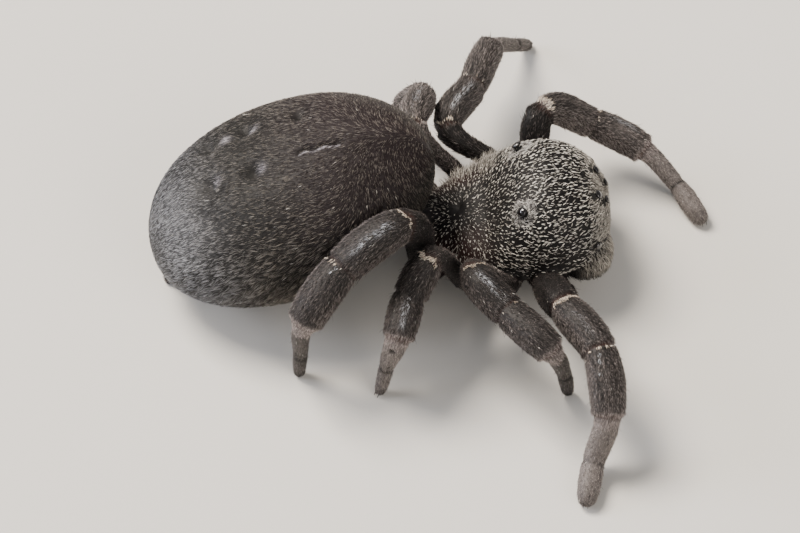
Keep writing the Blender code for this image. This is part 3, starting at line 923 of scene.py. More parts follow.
    def tone(self, points: Array, reading: Reading) -> Array:
        """Colour of the ground: black, with red-brown at the sides of the thorax."""
        brown = ease(2.2, 0.9, reading.place[:, 0]) * ease(0.5, 1.3, np.abs(reading.place[:, 1]))
        tone = blend(linear("#100e0f"), linear("#321d1a"), brown * 0.8)
        return tone * (1.0 + 0.2 * ripple(points, 0.7, 8))[:, None]

    def skin_tint(self, points: Array, reading: Reading) -> Array:
        """Black cuticle, and a paler breastplate and leg roots below."""
        below = ease(1.5, 1.0, reading.place[:, 2]) * ease(4.2, 3.4, reading.place[:, 0])
        return blend(self.tone(points, reading) * 0.7, linear("#2a1d18"), below)

    def fuzz_tint(self, reading: Reading, points: Array, rng: Rng) -> Tints:
        """Colours of the short black ground hair."""
        tone = self.tone(points, reading)
        return tone * 0.7, blend(tone, linear("#57514e"), rng.uniform(0.0, 0.25, len(points)))

    def white_tint(self, reading: Reading, points: Array, rng: Rng) -> Tints:
        """Colours of the white bristles, dirtier on the thorax."""
        dirt = rng.uniform(size=len(points)) ** 1.8
        clean = 0.80 + 0.20 * ease(1.8, 2.8, reading.place[:, 0]) - 0.80 * dirt
        return mixed_hair("#4d4644", "#fffaf0", clean, root=0.75)

    def pale_tint(self, reading: Reading, points: Array, rng: Rng) -> Tints:
        """Colours of the pale grey fuzz at the brow and behind the head."""
        return mixed_hair("#4a4643", "#e2dbd0", rng.uniform(0.2, 1.0, len(points)), root=0.6)

    def ring_tint(self, reading: Reading, points: Array, rng: Rng) -> Tints:
        """Colours of the blotchy whitish rings of the rear eyes."""
        pale = 0.55 + 0.35 * ripple(points, 0.10, 17) + rng.uniform(-0.25, 0.25, len(points))
        return mixed_hair("#5e5a5a", "#f2efea", np.clip(pale, 0.0, 1.0), root=0.7)

    def over(self, reading: Reading, points: Array) -> Array:
        """1 on the upper side, where the white bristles grow, and less low on the sides."""
        place = reading.place
        high = place[:, 2] + 1.0 * ease(3.2, 1.6, place[:, 0])
        side = ease(1.15, 1.6, place[:, 2]) * (0.24 + 0.76 * ease(2.0, 2.8, high))
        front = ease(4.2, 4.9, place[:, 0]) * ease(1.15, 1.5, place[:, 2])
        off_fovea = ease(0.12, 0.45, np.linalg.norm(place[:, :2] - np.array(self.fovea[:2]), axis=1))
        return np.maximum(side, front) * off_fovea * (1.0 - self.eye_share(points, 0.06))

    def at_brow(self, reading: Reading, points: Array) -> Array:
        """1 over the brow and on the cheeks, where the coat is thick and pale."""
        brow = ease(4.65, 5.20, reading.place[:, 0]) * ease(0.9, 1.3, reading.place[:, 2])
        return brow * (1.0 - self.hollow_share(reading)) * (1.0 - self.eye_share(points, 0.03))

    def at_fringe(self, reading: Reading, points: Array) -> Array:
        """1 along the lower edge of the face, where long pale hair hangs over the jaws."""
        place = reading.place
        return ease(4.5, 4.9, place[:, 0]) * ease(1.0, 1.25, place[:, 2]) * ease(2.25, 1.9, place[:, 2])

    def hang(self, points: Array, reading: Reading) -> Array:
        """Hair that hangs down and a little ahead."""
        return np.tile(np.array((0.22, 0.0, -1.0)), (len(points), 1))

    def hollow_share(self, reading: Reading) -> Array:
        """1 in the dark hollows round the middle eyes of each side."""
        x, y, z = reading.place.T
        return bell((x - 5.16) / 0.26, (np.abs(y) - 0.56) / 0.20, (z - 3.2) / 0.40)

    def behind_head(self, reading: Reading, points: Array) -> Array:
        """1 on the left shoulder behind the head, where longer grey hair fans out, and less on the right."""
        place = reading.place
        shoulders = ease(3.0, 1.8, place[:, 0]) * ease(0.8, 1.3, np.abs(place[:, 1]))
        return shoulders * ease(1.1, 1.8, place[:, 2]) * np.where(place[:, 1] > 0.0, 1.0, 0.15)

    def round_eye(self, reading: Reading, points: Array) -> Array:
        """1 in a ring round each of the two rear eyes that stand wide apart."""
        total = np.zeros(len(points))
        for eye in self.eyes:
            if eye.ringed:
                away = eye.clearance(points)
                edge = ease(0.34, 0.22, away + 0.05 * ripple(points, 0.12, 18))
                total = np.maximum(total, ease(0.0, 0.04, away) * edge)
        return total

    def eye_lie(self, points: Array, reading: Reading) -> Array:
        """Hair that leads away from the nearest ringed eye, with a slight whirl."""
        best = np.full(len(points), FAR)
        way = self.lie(points, reading)
        for eye in self.eyes:
            if eye.ringed:
                out = points - eye.centre
                away = np.linalg.norm(out, axis=1)
                near = away < best
                whirl = np.cross(np.tile(eye.outward, (len(points), 1)), out)
                way[near] = (out + 0.9 * whirl)[near]
                best = np.minimum(best, away)
        return way

    def pelts(self) -> list[Pelt]:
        """Black fuzz, white bristles, pale fuzz at brow and shoulders, and the rings of the rear eyes."""
        def outside_ring(reading: Reading, points: Array) -> Array:
            return self.over(reading, points) * (1.0 - self.round_eye(reading, points)) * (
                1.0 - self.hollow_share(reading))

        def bristle_size(reading: Reading) -> Array:
            return 0.76 + 0.24 * ease(1.6, 2.7, reading.place[:, 0])

        def longer_behind(reading: Reading) -> Array:
            return 0.55 + 0.45 * ease(2.6, 1.6, reading.place[:, 0])

        fuzz = Pelt(density=400.0, length=(0.08, 0.13), width=0.022, lift=15.0, tint=self.fuzz_tint)
        bristles = Pelt(density=420.0, length=(0.11, 0.20), width=0.036, lift=15.0, tint=self.white_tint,
                        shape=HairShape.SPINDLE, curl=0.16, sway=19.0, grows=outside_ring,
                        stretch=bristle_size, spacing=0.108)
        wisps = Pelt(density=90.0, length=(0.09, 0.15), width=0.020, lift=18.0, tint=self.white_tint,
                     shape=HairShape.BENT, curl=0.16, sway=24.0, grows=outside_ring, stretch=bristle_size)
        brow = Pelt(density=620.0, length=(0.10, 0.17), width=0.021, lift=30.0, tint=self.pale_tint,
                    shape=HairShape.BENT, curl=0.2, sway=17.0, grows=self.at_brow)
        shoulders = Pelt(density=140.0, length=(0.30, 0.54), width=0.018, lift=34.0, tint=self.pale_tint,
                         shape=HairShape.BENT, curl=0.22, sway=14.0, grows=self.behind_head,
                         stretch=longer_behind)
        ring = Pelt(density=1500.0, length=(0.08, 0.14), width=0.022, lift=16.0, tint=self.ring_tint,
                    shape=HairShape.BENT, curl=0.2, sway=14.0, grows=self.round_eye, lie=self.eye_lie)
        fringe = Pelt(density=420.0, length=(0.28, 0.50), width=0.026, lift=14.0, tint=self.pale_tint,
                      shape=HairShape.BENT, curl=0.2, sway=15.0, grows=self.at_fringe, lie=self.hang)
        return [fuzz, bristles, wisps, brow, shoulders, ring, fringe]


@dataclass
class Jaw(BodyPart):
    """One stout chelicera under the brow."""

    name: str
    side: int
    slot: Slot = Slot.SHIELD
    centre: Place = (4.71, 1.05, 1.48)
    half_sizes: Place = (0.86, 0.93, 0.87)
    mean_radius: float = 0.85
    squareness: float = 2.4
    coat_depth: float = 0.06
    cleft: float = 0.07

    def middle(self) -> Array:
        """Centre of the jaw in the row's frame."""
        return np.array(self.centre) * mirror(self.side) + WAIST

    def surface(self, station: Array, angle: Array) -> Array:
        """Places on the jaw's skin, with a flat inner side."""
        length, width, height = (size - self.coat_depth for size in self.half_sizes)
        girth = girth_at(station, self.squareness)
        across, up = np.cos(angle), np.sin(angle)
        stretch = squared_reach(across, up, self.squareness)
        places = np.stack((length * station, width * girth * across * stretch, height * girth * up * stretch),
                          axis=1) + self.middle()
        inner = (places[:, 1] - WAIST[1]) * self.side
        places[:, 1] = WAIST[1] + np.maximum(inner, self.cleft) * self.side
        return places

    def forms(self) -> list[bpy.types.Mesh]:
        """The jaw's closed form."""
        return [ball_form(f"{self.name}_form", self.surface, around=56, along=42)]

    def clearance(self, points: Array) -> Array:
        """Distance outside the jaw, near enough."""
        own = np.abs(points - self.middle()) / np.array(self.half_sizes)
        return ((own ** self.squareness).sum(axis=1) ** (1.0 / self.squareness) - 1.0) * self.mean_radius

    def read(self, points: Array) -> Reading:
        """Station from back to front and angle about the length."""
        own = points - self.middle()
        turn = np.arctan2(own[:, 2], own[:, 1])
        return round_reading(own, np.clip(0.5 + 0.5 * own[:, 0] / self.half_sizes[0], 0.0, 1.0), turn)

    def lie(self, points: Array, reading: Reading) -> Array:
        """Hair hangs down and a little ahead."""
        return np.tile(np.array((0.30, 0.12 * self.side, -1.0)), (len(points), 1))

    def skin_tint(self, points: Array, reading: Reading) -> Array:
        """Black cuticle."""
        return linear("#0e0c0c")

    def tint(self, reading: Reading, points: Array, rng: Rng) -> Tints:
        """Pale hair above that gives way to black below and behind."""
        pale = ease(-0.55, 0.20, reading.place[:, 2]) * ease(-0.45, 0.25, reading.place[:, 0])
        return mixed_hair("#151313", "#e2dbd0", pale * rng.uniform(0.25, 1.0, len(points)), root=0.55)

    def pelts(self) -> list[Pelt]:
        """Long soft hair in locks over a short dark ground."""
        ground = Pelt(density=360.0, length=(0.09, 0.15), width=0.023, lift=16.0, tint=self.tint)
        beard = Pelt(density=230.0, length=(0.22, 0.40), width=0.024, lift=18.0, tint=self.tint,
                     shape=HairShape.BENT, curl=0.22, sway=14.0, lock_size=0.14,
                     lock_pull=lambda reading: np.full(len(reading.share), 0.35))
        return [ground, beard]


@dataclass(frozen=True)
class Stretch:
    """One length of a limb, a swelling tube between two joints with round ends.

    leaves and meets are its ways at start and end, radii its skin's at root, belly and end, bulges how round
    its ends are, and handle_share how far its bend reaches along it.
    """

    label: str
    start: Array
    end: Array
    leaves: Array
    meets: Array
    radii: Place
    bulges: tuple[float, float] = (0.8, 0.7)
    handle_share: float = 0.31

    def line(self, rings: int) -> tuple[Array, Array]:
        """Centres and radii of rings from joint to joint."""
        t = np.linspace(0.0, 1.0, rings)[:, None]
        s = 1.0 - t
        handle = self.length() * self.handle_share
        first, second = self.start + self.leaves * handle, self.end - self.meets * handle
        centres = self.start * s ** 3 + first * 3 * s * s * t + second * 3 * s * t * t + self.end * t ** 3
        root, belly, end = self.radii
        radii = root * (1 - t) * (1 - 2 * t) + 4 * belly * t * (1 - t) + end * t * (2 * t - 1)
        return centres, radii[:, 0]

    def length(self) -> float:
        """Straight length from joint to joint."""
        return float(np.linalg.norm(self.end - self.start))


@dataclass
class Limb(BodyPart):
    """A part made of stretches that follow each other: a leg, a palp, the waist or the spinnerets.

    Past level_share of a stretch's length in its plan the limb counts as running level, and its points are
    asked about in groups, for the memory's sake.
    """

    name: str
    stretches: list[Stretch]
    slot: Slot = Slot.LEG
    rings: int = 22
    sides: int = 22
    palette: "LimbColours | None" = None
    hair: "LimbHair | None" = None
    level_share: float = 0.55
    margin: float = 1.2
    group_size: int = 8000

    def __post_init__(self) -> None:
        """Works out the points that later questions about the limb are answered from."""
        lines = [stretch.line(self.rings) for stretch in self.stretches]
        self.centres = np.vstack([centres for centres, _ in lines])
        self.radii = np.concatenate([radii for _, radii in lines])
        self.parts = np.repeat(np.arange(len(lines)), self.rings)
        self.shares = np.tile(np.linspace(0.0, 1.0, self.rings), len(lines))
        self.lengths = np.array([stretch.length() for stretch in self.stretches])
        self.ways = np.vstack([unit(np.gradient(centres, axis=0)) for centres, _ in lines])
        self.backs = self.back_ways()

    def back_ways(self) -> Array:
        """Way of the upper side at each ring: up where the limb runs level, outwards where it drops."""
        out = np.zeros_like(self.ways)
        last = unit(self.ways[0] * LEVEL)
        for number, stretch in enumerate(self.stretches):
            chord = (stretch.end - stretch.start) * LEVEL
            if np.linalg.norm(chord) > self.level_share * stretch.length():
                last = unit(chord)
            out[self.parts == number] = last
        near = 4
        kernel = np.ones(2 * near + 1) / (2.0 * near + 1.0)
        padded = np.pad(out, ((near, near), (0, 0)), mode="edge")
        out = np.stack([np.convolve(row, kernel, "valid") for row in padded.T], axis=1)
        return unit(np.cross(unit(np.cross(unit(out), UP)), self.ways))

    def forms(self) -> list[bpy.types.Mesh]:
        """One closed tube for each stretch."""
        made = []
        for stretch in self.stretches:
            centres, radii = rounded_route(*stretch.line(self.rings), *stretch.bulges)
            made.append(tube_form(f"{self.name}_{stretch.label}_form", centres, radii, self.sides))
        return made

    def nearest(self, points: Array) -> tuple[Array, Array]:
        """Clearance of each point, and the number of the ring that it is nearest to."""
        clear = np.full(len(points), FAR)
        ring = np.zeros(len(points), int)
        low, high = self.centres.min(axis=0) - self.margin, self.centres.max(axis=0) + self.margin
        close = np.flatnonzero(np.all((points > low) & (points < high), axis=1))
        for group in np.array_split(close, max(1, len(close) // self.group_size)):
            gaps = np.linalg.norm(points[group, None, :] - self.centres[None, :, :], axis=2) - self.radii
            ring[group] = gaps.argmin(axis=1)
            clear[group] = gaps.min(axis=1)
        return clear, ring

    def clearance(self, points: Array) -> Array:
        """Distance outside the limb."""
        return self.nearest(points)[0]

    def read(self, points: Array) -> Reading:
        """Stretch, share of its length and angle from the upper side."""
        _, ring = self.nearest(points)
        out = points - self.centres[ring]
        way, back = self.ways[ring], self.backs[ring]
        part, lengths = self.parts[ring], self.lengths[self.parts[ring]]
        share = self.shares[ring] + (out * way).sum(axis=1) / lengths
        turn = np.arctan2((out * np.cross(way, back)).sum(axis=1), (out * back).sum(axis=1))
        along = (part + np.clip(share, 0.0, 1.0)) / len(self.stretches)
        unwrap = np.stack((along, 0.5 + turn / math.tau), axis=1)
        return Reading(part, share, turn, np.stack((share * lengths, ring), axis=1), unwrap)

    def lie(self, points: Array, reading: Reading) -> Array:
        """Hair runs along the limb to its tip."""
        return self.ways[reading.place[:, 1].astype(int)]

    def from_joint(self, reading: Reading) -> Array:
        """Distance along the limb from the nearest joint."""
        lengths = self.lengths[reading.part]
        before = np.abs(reading.share * lengths)
        after = np.abs((1.0 - reading.share) * lengths)
        after[reading.part == len(self.stretches) - 1] = FAR
        return np.minimum(before, after)

    def relief(self, points: Array, reading: Reading) -> Array:
        """A groove at each joint behind a low rim, and on a leg four low ridges and pits below the wrist."""
        away = self.from_joint(reading)
        if self.palette is None:
            return -0.022 * bell(away / 0.05)
        on_way = reading.on_way
        groove = -0.045 * bell(away / 0.065) * ease(0.8, 1.2, on_way)
        groove = groove * (0.5 + 0.5 * ease(4.9, 4.4, on_way))
        rim = 0.028 * bell((away - 0.15) / 0.07) * (reading.share > 0.5) * ease(1.0, 1.6, on_way)
        thick = ease(0.8, 1.2, on_way) * ease(4.0, 3.9, on_way)
        ridges = 0.040 * np.sin(2.0 * reading.turn) ** 2 * thick
        return groove + rim * (on_way < 4.0) + ridges - 0.08 * self.palette.wrist_pit(reading)

    def skin_tint(self, points: Array, reading: Reading) -> Array:
        """Dark horn, redder in the folds of the joints."""
        return linear("#171314") if self.palette is None else self.palette.skin(self, points, reading)

    def pelts(self) -> list[Pelt]:
        """The limb's hair."""
        return [] if self.hair is None else self.hair.pelts(self)


@dataclass(frozen=True)
class LimbColours:
    """Colours of one limb, of which the numbers without a unit are shares.

    paleness is that of the metatarsus and tarsus, base and inner that of the stretches before them and
    nearest the body, and flanks what their flanks add. marks is the size of the light tufts at the joints,
    warmth how red the folds are and pitted how dark the pits below the wrist, which stand pit_turn degrees
    from the limb's ridge. streak gives the stretch that bears a whitish streak, a painted highlight where the
    ridge shines, the degrees that it stands from the ridge and how strong it is, and each of the flecks its
    stretch, the share of its length and its degrees.
    """

    paleness: float = 0.5
    flanks: float = 0.3
    marks: float = 1.0
    warmth: float = 0.5
    streak: tuple[Segment, float, float] = (Segment.PATELLA, 0.0, 0.5)
    pitted: float = 0.0
    pit_turn: float = 0.0
    base: float = 0.24
    inner: float = 0.12
    flecks: tuple[tuple[Segment, float, float], ...] = ()

    def over(self, reading: Reading, half_angle: float) -> Array:
        """1 on the upper side, within half_angle degrees of its ridge."""
        return ease(half_angle, 0.6 * half_angle, np.degrees(np.abs(reading.turn)))

    def knee_cuff(self, reading: Reading) -> Array:
        """1 on the cream tuft at the upper edge of the patella."""
        edge = 0.045 * self.marks + 0.03 * np.sin(5.0 * reading.turn + 1.0)
        away = np.abs(reading.place[:, 0] - edge) / max(self.marks, 0.1)
        return (reading.part == Segment.PATELLA) * ease(0.075, 0.035, away) * self.over(reading, 64.0)

    def shin_cuff(self, reading: Reading) -> Array:
        """1 on the few pale hairs at the upper edge of the tibia."""
        shin = (reading.part == Segment.TIBIA) * ease(0.07, 0.03, np.abs(reading.place[:, 0] - 0.03))
        broken = ease(-0.7, 0.3, np.sin(reading.turn * 9.0 + reading.part * 2.0))
        return self.marks * shin * broken * self.over(reading, 62.0)

    def wrist_band(self, reading: Reading) -> Array:
        """1 on the pinkish white band at the end of the tibia."""
        end = (reading.part == Segment.TIBIA) * ease(0.88, 0.95, reading.share)
        start = (reading.part == Segment.METATARSUS) * ease(0.05, 0.0, reading.share)
        return (end + start) * self.over(reading, 150.0)

    def wrist_pit(self, reading: Reading) -> Array:
        """1 in the small dark pits below the wrist and before the next joint."""
        turn = reading.turn - math.radians(self.pit_turn)
        upper = bell((reading.place[:, 0] - 0.20) / 0.13, turn / 0.40)
        lower = bell((reading.share - 0.80) / 0.06, (turn + 0.25) / 0.20)
        pits = np.maximum(ease(0.3, 0.6, upper), 0.8 * ease(0.4, 0.7, lower))
        return self.pitted * (reading.part == Segment.METATARSUS) * pits

    def toe_tip(self, reading: Reading) -> Array:
        """1 at the dark end of the toe, less on a pale limb."""
        end = (reading.part == Segment.TARSUS) * ease(0.72, 0.95, reading.share)
        return end * (1.0 - 0.7 * self.paleness)

    def highlight_and_fleck_share(self, points: Array, reading: Reading) -> Array:
        """1 on the irregular whitish streak along one stretch, a painted highlight, and on the flecks."""
        part, turn, strength = self.streak
        degrees = np.degrees(reading.turn)
        line = bell((degrees - turn - 3.0 * ripple(points, 0.25, 41)) / 11.0)
        middle = ease(0.10, 0.3, reading.share) * ease(0.92, 0.7, reading.share)
        share = strength * (reading.part == part) * line * middle * ease(-1.0, 0.1, ripple(points, 0.10, 43))
        for place, along, across in self.flecks:
            fleck = bell((reading.share - along) / 0.035, (degrees - across) / 7.0)
            share = np.maximum(share, (reading.part == place) * ease(0.3, 0.6, fleck))
        return share

    def pale_share(self, points: Array, reading: Reading) -> Array:
        """Share of pale hair: flanks over back, and most on the two thin stretches."""
        side = ease(38.0, 78.0, np.degrees(np.abs(reading.turn)))
        fine = np.stack((reading.turn * 0.5, reading.place[:, 0] * 0.22, reading.part * 3.7), axis=1)
        thick = np.where(reading.part == Segment.TIBIA, self.base + 0.06, self.base) + self.flanks * side
        thick = np.where(reading.part <= Segment.FEMUR, self.inner, thick)
        outer = reading.part >= Segment.METATARSUS
        share = np.where(outer, 0.16 + 0.84 * self.paleness, thick)
        share = share * (1.0 + np.where(outer, 0.35, 0.65) * ripple(fine, 0.035, 37))
        share = np.maximum(share, 0.9 * self.wrist_band(reading)) * (1.0 - 0.8 * self.toe_tip(reading))
        toe_joint = bell((reading.place[:, 0] - 0.05) / 0.06) * (reading.part == Segment.TARSUS)
        return np.clip(share, 0.0, 1.0) * (1.0 - self.wrist_pit(reading)) * (1.0 - 0.8 * toe_joint)

    def tone(self, points: Array, reading: Reading) -> Array:
        """Colour of the coat's dark ground: charcoal, and red-brown near the body."""
        tone = blend(linear("#151313"), linear("#472a23"), ease(1.4, 0.2, reading.on_way) * 0.8)
        return tone * (1.0 + 0.15 * ripple(points, 0.5, 31))[:, None]

    def grey(self, reading: Reading) -> Array:
        """Colour of the pale hair: mauve grey, pinker at the wrist."""
        mauve = blend(linear("#b1a6a2"), linear("#c9beb9"), ease(3.9, 4.2, reading.on_way))
        return blend(mauve, linear("#e0d2ce"), self.wrist_band(reading))

    def skin(self, limb: Limb, points: Array, reading: Reading) -> Array:
        """Colour of the cuticle, black in the outer joints' folds and red-brown in the others'."""
        through = 0.10 + 0.12 * ease(3.9, 4.2, reading.on_way)
        tint = blend(self.tone(points, reading) * 0.6, self.grey(reading),
                     through * self.pale_share(points, reading))
        fold = bell(limb.from_joint(reading) / 0.06)
        crease = 0.9 * (fold * (reading.part >= Segment.METATARSUS))
        tint = blend(tint, linear("#020202"), np.maximum(self.wrist_pit(reading), crease))
        return blend(tint, linear("#3a1d14"), fold * (reading.part <= Segment.TIBIA) * self.warmth)


@dataclass(frozen=True)
class LimbHair:
    """Hair of one limb: short dense fuzz, longer grey hairs and cream tufts at the joints."""

    colours: LimbColours
    density: float = 1.0

    def fuzz_tint(self, reading: Reading, points: Array, rng: Rng) -> Tints:
        """Colours of the fuzz, each hair dark or pale by the share of pale hair there."""
        tone, grey = self.colours.tone(points, reading), self.colours.grey(reading)
        share = self.colours.pale_share(points, reading)
        draw = rng.uniform(size=len(points))
        pale = np.clip(share * rng.uniform(0.1, 1.4, len(points)) + 0.25 * (draw < share), 0.0, 1.0)
        # The painted highlight streak along the ridge, and the flecks, bluish white
        streak = self.colours.highlight_and_fleck_share(points, reading)
        tip = blend(blend(tone, grey, pale * (draw < 0.90)), linear("#e6e9ef"), streak)
        return blend(tone * 0.7, tip, np.maximum(0.55 * share, 0.85 * streak)), tip

    def grey_tint(self, reading: Reading, points: Array, rng: Rng) -> Tints:
        """Colours of the longer hairs, of which some are nearly white."""
        tone, grey = self.colours.tone(points, reading), self.colours.grey(reading)
        share = 0.45 + 0.55 * self.colours.pale_share(points, reading)
        tip = blend(tone, grey, share * rng.uniform(0.1, 1.0, len(points)))
        # The painted highlight streak along the ridge, and the flecks, bluish white
        tip = blend(tip, linear("#e6e9ef"), self.colours.highlight_and_fleck_share(points, reading))
        tip[rng.uniform(size=len(points)) > 0.985] = linear("#f4efe8")
        return blend(tone, tip, 0.3), tip

    def cream_tint(self, reading: Reading, points: Array, rng: Rng) -> Tints:
        """Colours of the cream tufts."""
        return mixed_hair("#b79f86", "#fff6e8", rng.uniform(0.2, 1.0, len(points)), root=0.85)

    def pelts(self, limb: Limb) -> list[Pelt]:
        """The limb's kinds of hair."""
        def thin_roots(reading: Reading, points: Array) -> Array:
            on_way = reading.on_way
            open_pit = 1.0 - 1.2 * self.colours.wrist_pit(reading)
            crease = 1.0 - 0.8 * bell(limb.from_joint(reading) / 0.03) * ease(3.9, 4.0, on_way)
            return open_pit * crease * (0.35 + 0.65 * ease(0.6, 1.2, on_way))

        def smaller_out(reading: Reading) -> Array:
            return 1.0 - 0.30 * ease(3.6, 4.6, reading.on_way)

        def on_cuffs(reading: Reading, points: Array) -> Array:
            return self.colours.knee_cuff(reading) + 0.8 * self.colours.shin_cuff(reading)

        fuzz = Pelt(density=560.0 * self.density, length=(0.09, 0.15), width=0.021, lift=22.0,
                    tint=self.fuzz_tint, grows=thin_roots, stretch=smaller_out)
        grey = Pelt(density=95.0 * self.density, length=(0.12, 0.20), width=0.019, lift=22.0,
                    tint=self.grey_tint, shape=HairShape.BENT, curl=0.14, grows=thin_roots,
                    stretch=smaller_out)
        cuffs = Pelt(density=900.0, length=(0.11, 0.18), width=0.030, lift=18.0, tint=self.cream_tint,
                     shape=HairShape.BENT, curl=0.2, sway=14.0, grows=on_cuffs)
        stray = Pelt(density=5.0, length=(0.24, 0.36), width=0.015, lift=42.0, tint=self.grey_tint,
                     shape=HairShape.BENT, curl=0.25, sway=14.0, grows=thin_roots, stretch=smaller_out)
        return [fuzz, grey, cuffs, stray]


@dataclass(frozen=True)
class LegPlan:
    """One leg: its joints, its girth and its colours.

    joints are the knee, then the joints before the tibia, the metatarsus and the tarsus, and the toe on the
    floor. thin holds the radii of the two thin stretches: the metatarsus at its start and middle, the joint
    after it, and the tarsus at its middle and tip.
    """

    side: int
    pair: int
    joints: tuple[tuple[float, ...], ...]
    girth: float
    thin: tuple[float, float, float, float, float]
    colours: LimbColours


@dataclass(frozen=True)
class LegBuilder:
    """Turns the plan of a leg into its stretches.

    thick holds the radii at the root, the belly and the end of the femur, the patella and the tibia, and
    root_inset how near to the body's middle a coxa starts, as a share of the hip's distance.
    """

    hips: tuple[Place, ...] = ((3.30, 2.10, 1.40), (2.40, 2.20, 1.40), (1.15, 2.00, 1.40), (0.15, 1.50, 1.40))
    femur_slimming: tuple[float, ...] = (1.00, 0.68, 0.60, 0.82)
    toe_share: float = 0.84
    coxa_radius: float = 0.50
    root_inset: float = 0.35
    coat_depth: float = 0.045
    thick: tuple[Place, ...] = ((0.36, 0.54, 0.48), (0.48, 0.59, 0.52), (0.52, 0.58, 0.50))
    start_bulge: float = 0.7
    joint_bulge: float = 0.35
    toe_bulge: float = 1.0

    def radii(self, plan: LegPlan) -> list[Place]:
        """Radii of the skin at the root, the belly and the end of each stretch from the femur on."""
        rows = [[radius * plan.girth for radius in row] for row in self.thick]
        rows[0][1] *= self.femur_slimming[plan.pair - 1]
        first, middle, joint, belly, tip = plan.thin
        rows += [[first, middle, joint], [joint, belly, tip]]
        return [tuple(radius - self.coat_depth for radius in row) for row in rows]

    def stretches(self, plan: LegPlan) -> list[Stretch]:
        """The six stretches of a leg from its coxa to its toe.

        Args:
            plan: the leg's joints and girth.

        Returns:
            The stretches, in the row's frame.
        """
        hip = np.array(self.hips[plan.pair - 1]) * mirror(plan.side)
        toe = (*plan.joints[-1], self.toe_share * plan.thin[-1])
        spots = [hip] + [np.array(joint) * mirror(plan.side) for joint in (*plan.joints[:-1], toe)]
        chest = np.array((0.5 * (self.hips[0][0] + self.hips[3][0]), 0.0, hip[2]))
        outward = unit(hip - chest)
        ways = [unit(end - start) for start, end in zip(spots, spots[1:])]
        headings = [unit(before + after) for before, after in zip([outward, *ways], ways)] + [ways[-1]]
        root = np.array((hip[0], 0.0, hip[2])) * (1.0 - self.root_inset) + hip * self.root_inset
        radii = self.radii(plan)
        coxa = self.coxa_radius - self.coat_depth
        made = [Stretch("coxa", root + WAIST, hip + WAIST, outward, headings[0], (coxa, coxa, radii[0][0]))]
        for number, bone in enumerate(list(Segment)[Segment.FEMUR:]):
            end_bulge = self.toe_bulge if bone is Segment.TARSUS else self.joint_bulge
            made.append(Stretch(bone.name.lower(), spots[number] + WAIST, spots[number + 1] + WAIST,
                                headings[number], headings[number + 1], radii[number],
                                (self.start_bulge, end_bulge)))
        return made

    def leg(self, plan: LegPlan) -> Limb:
        """One leg as a part of the body."""
        return Limb(f"leg_{SIDES[plan.side]}_{plan.pair}", self.stretches(plan), palette=plan.colours,
                    hair=LimbHair(plan.colours))


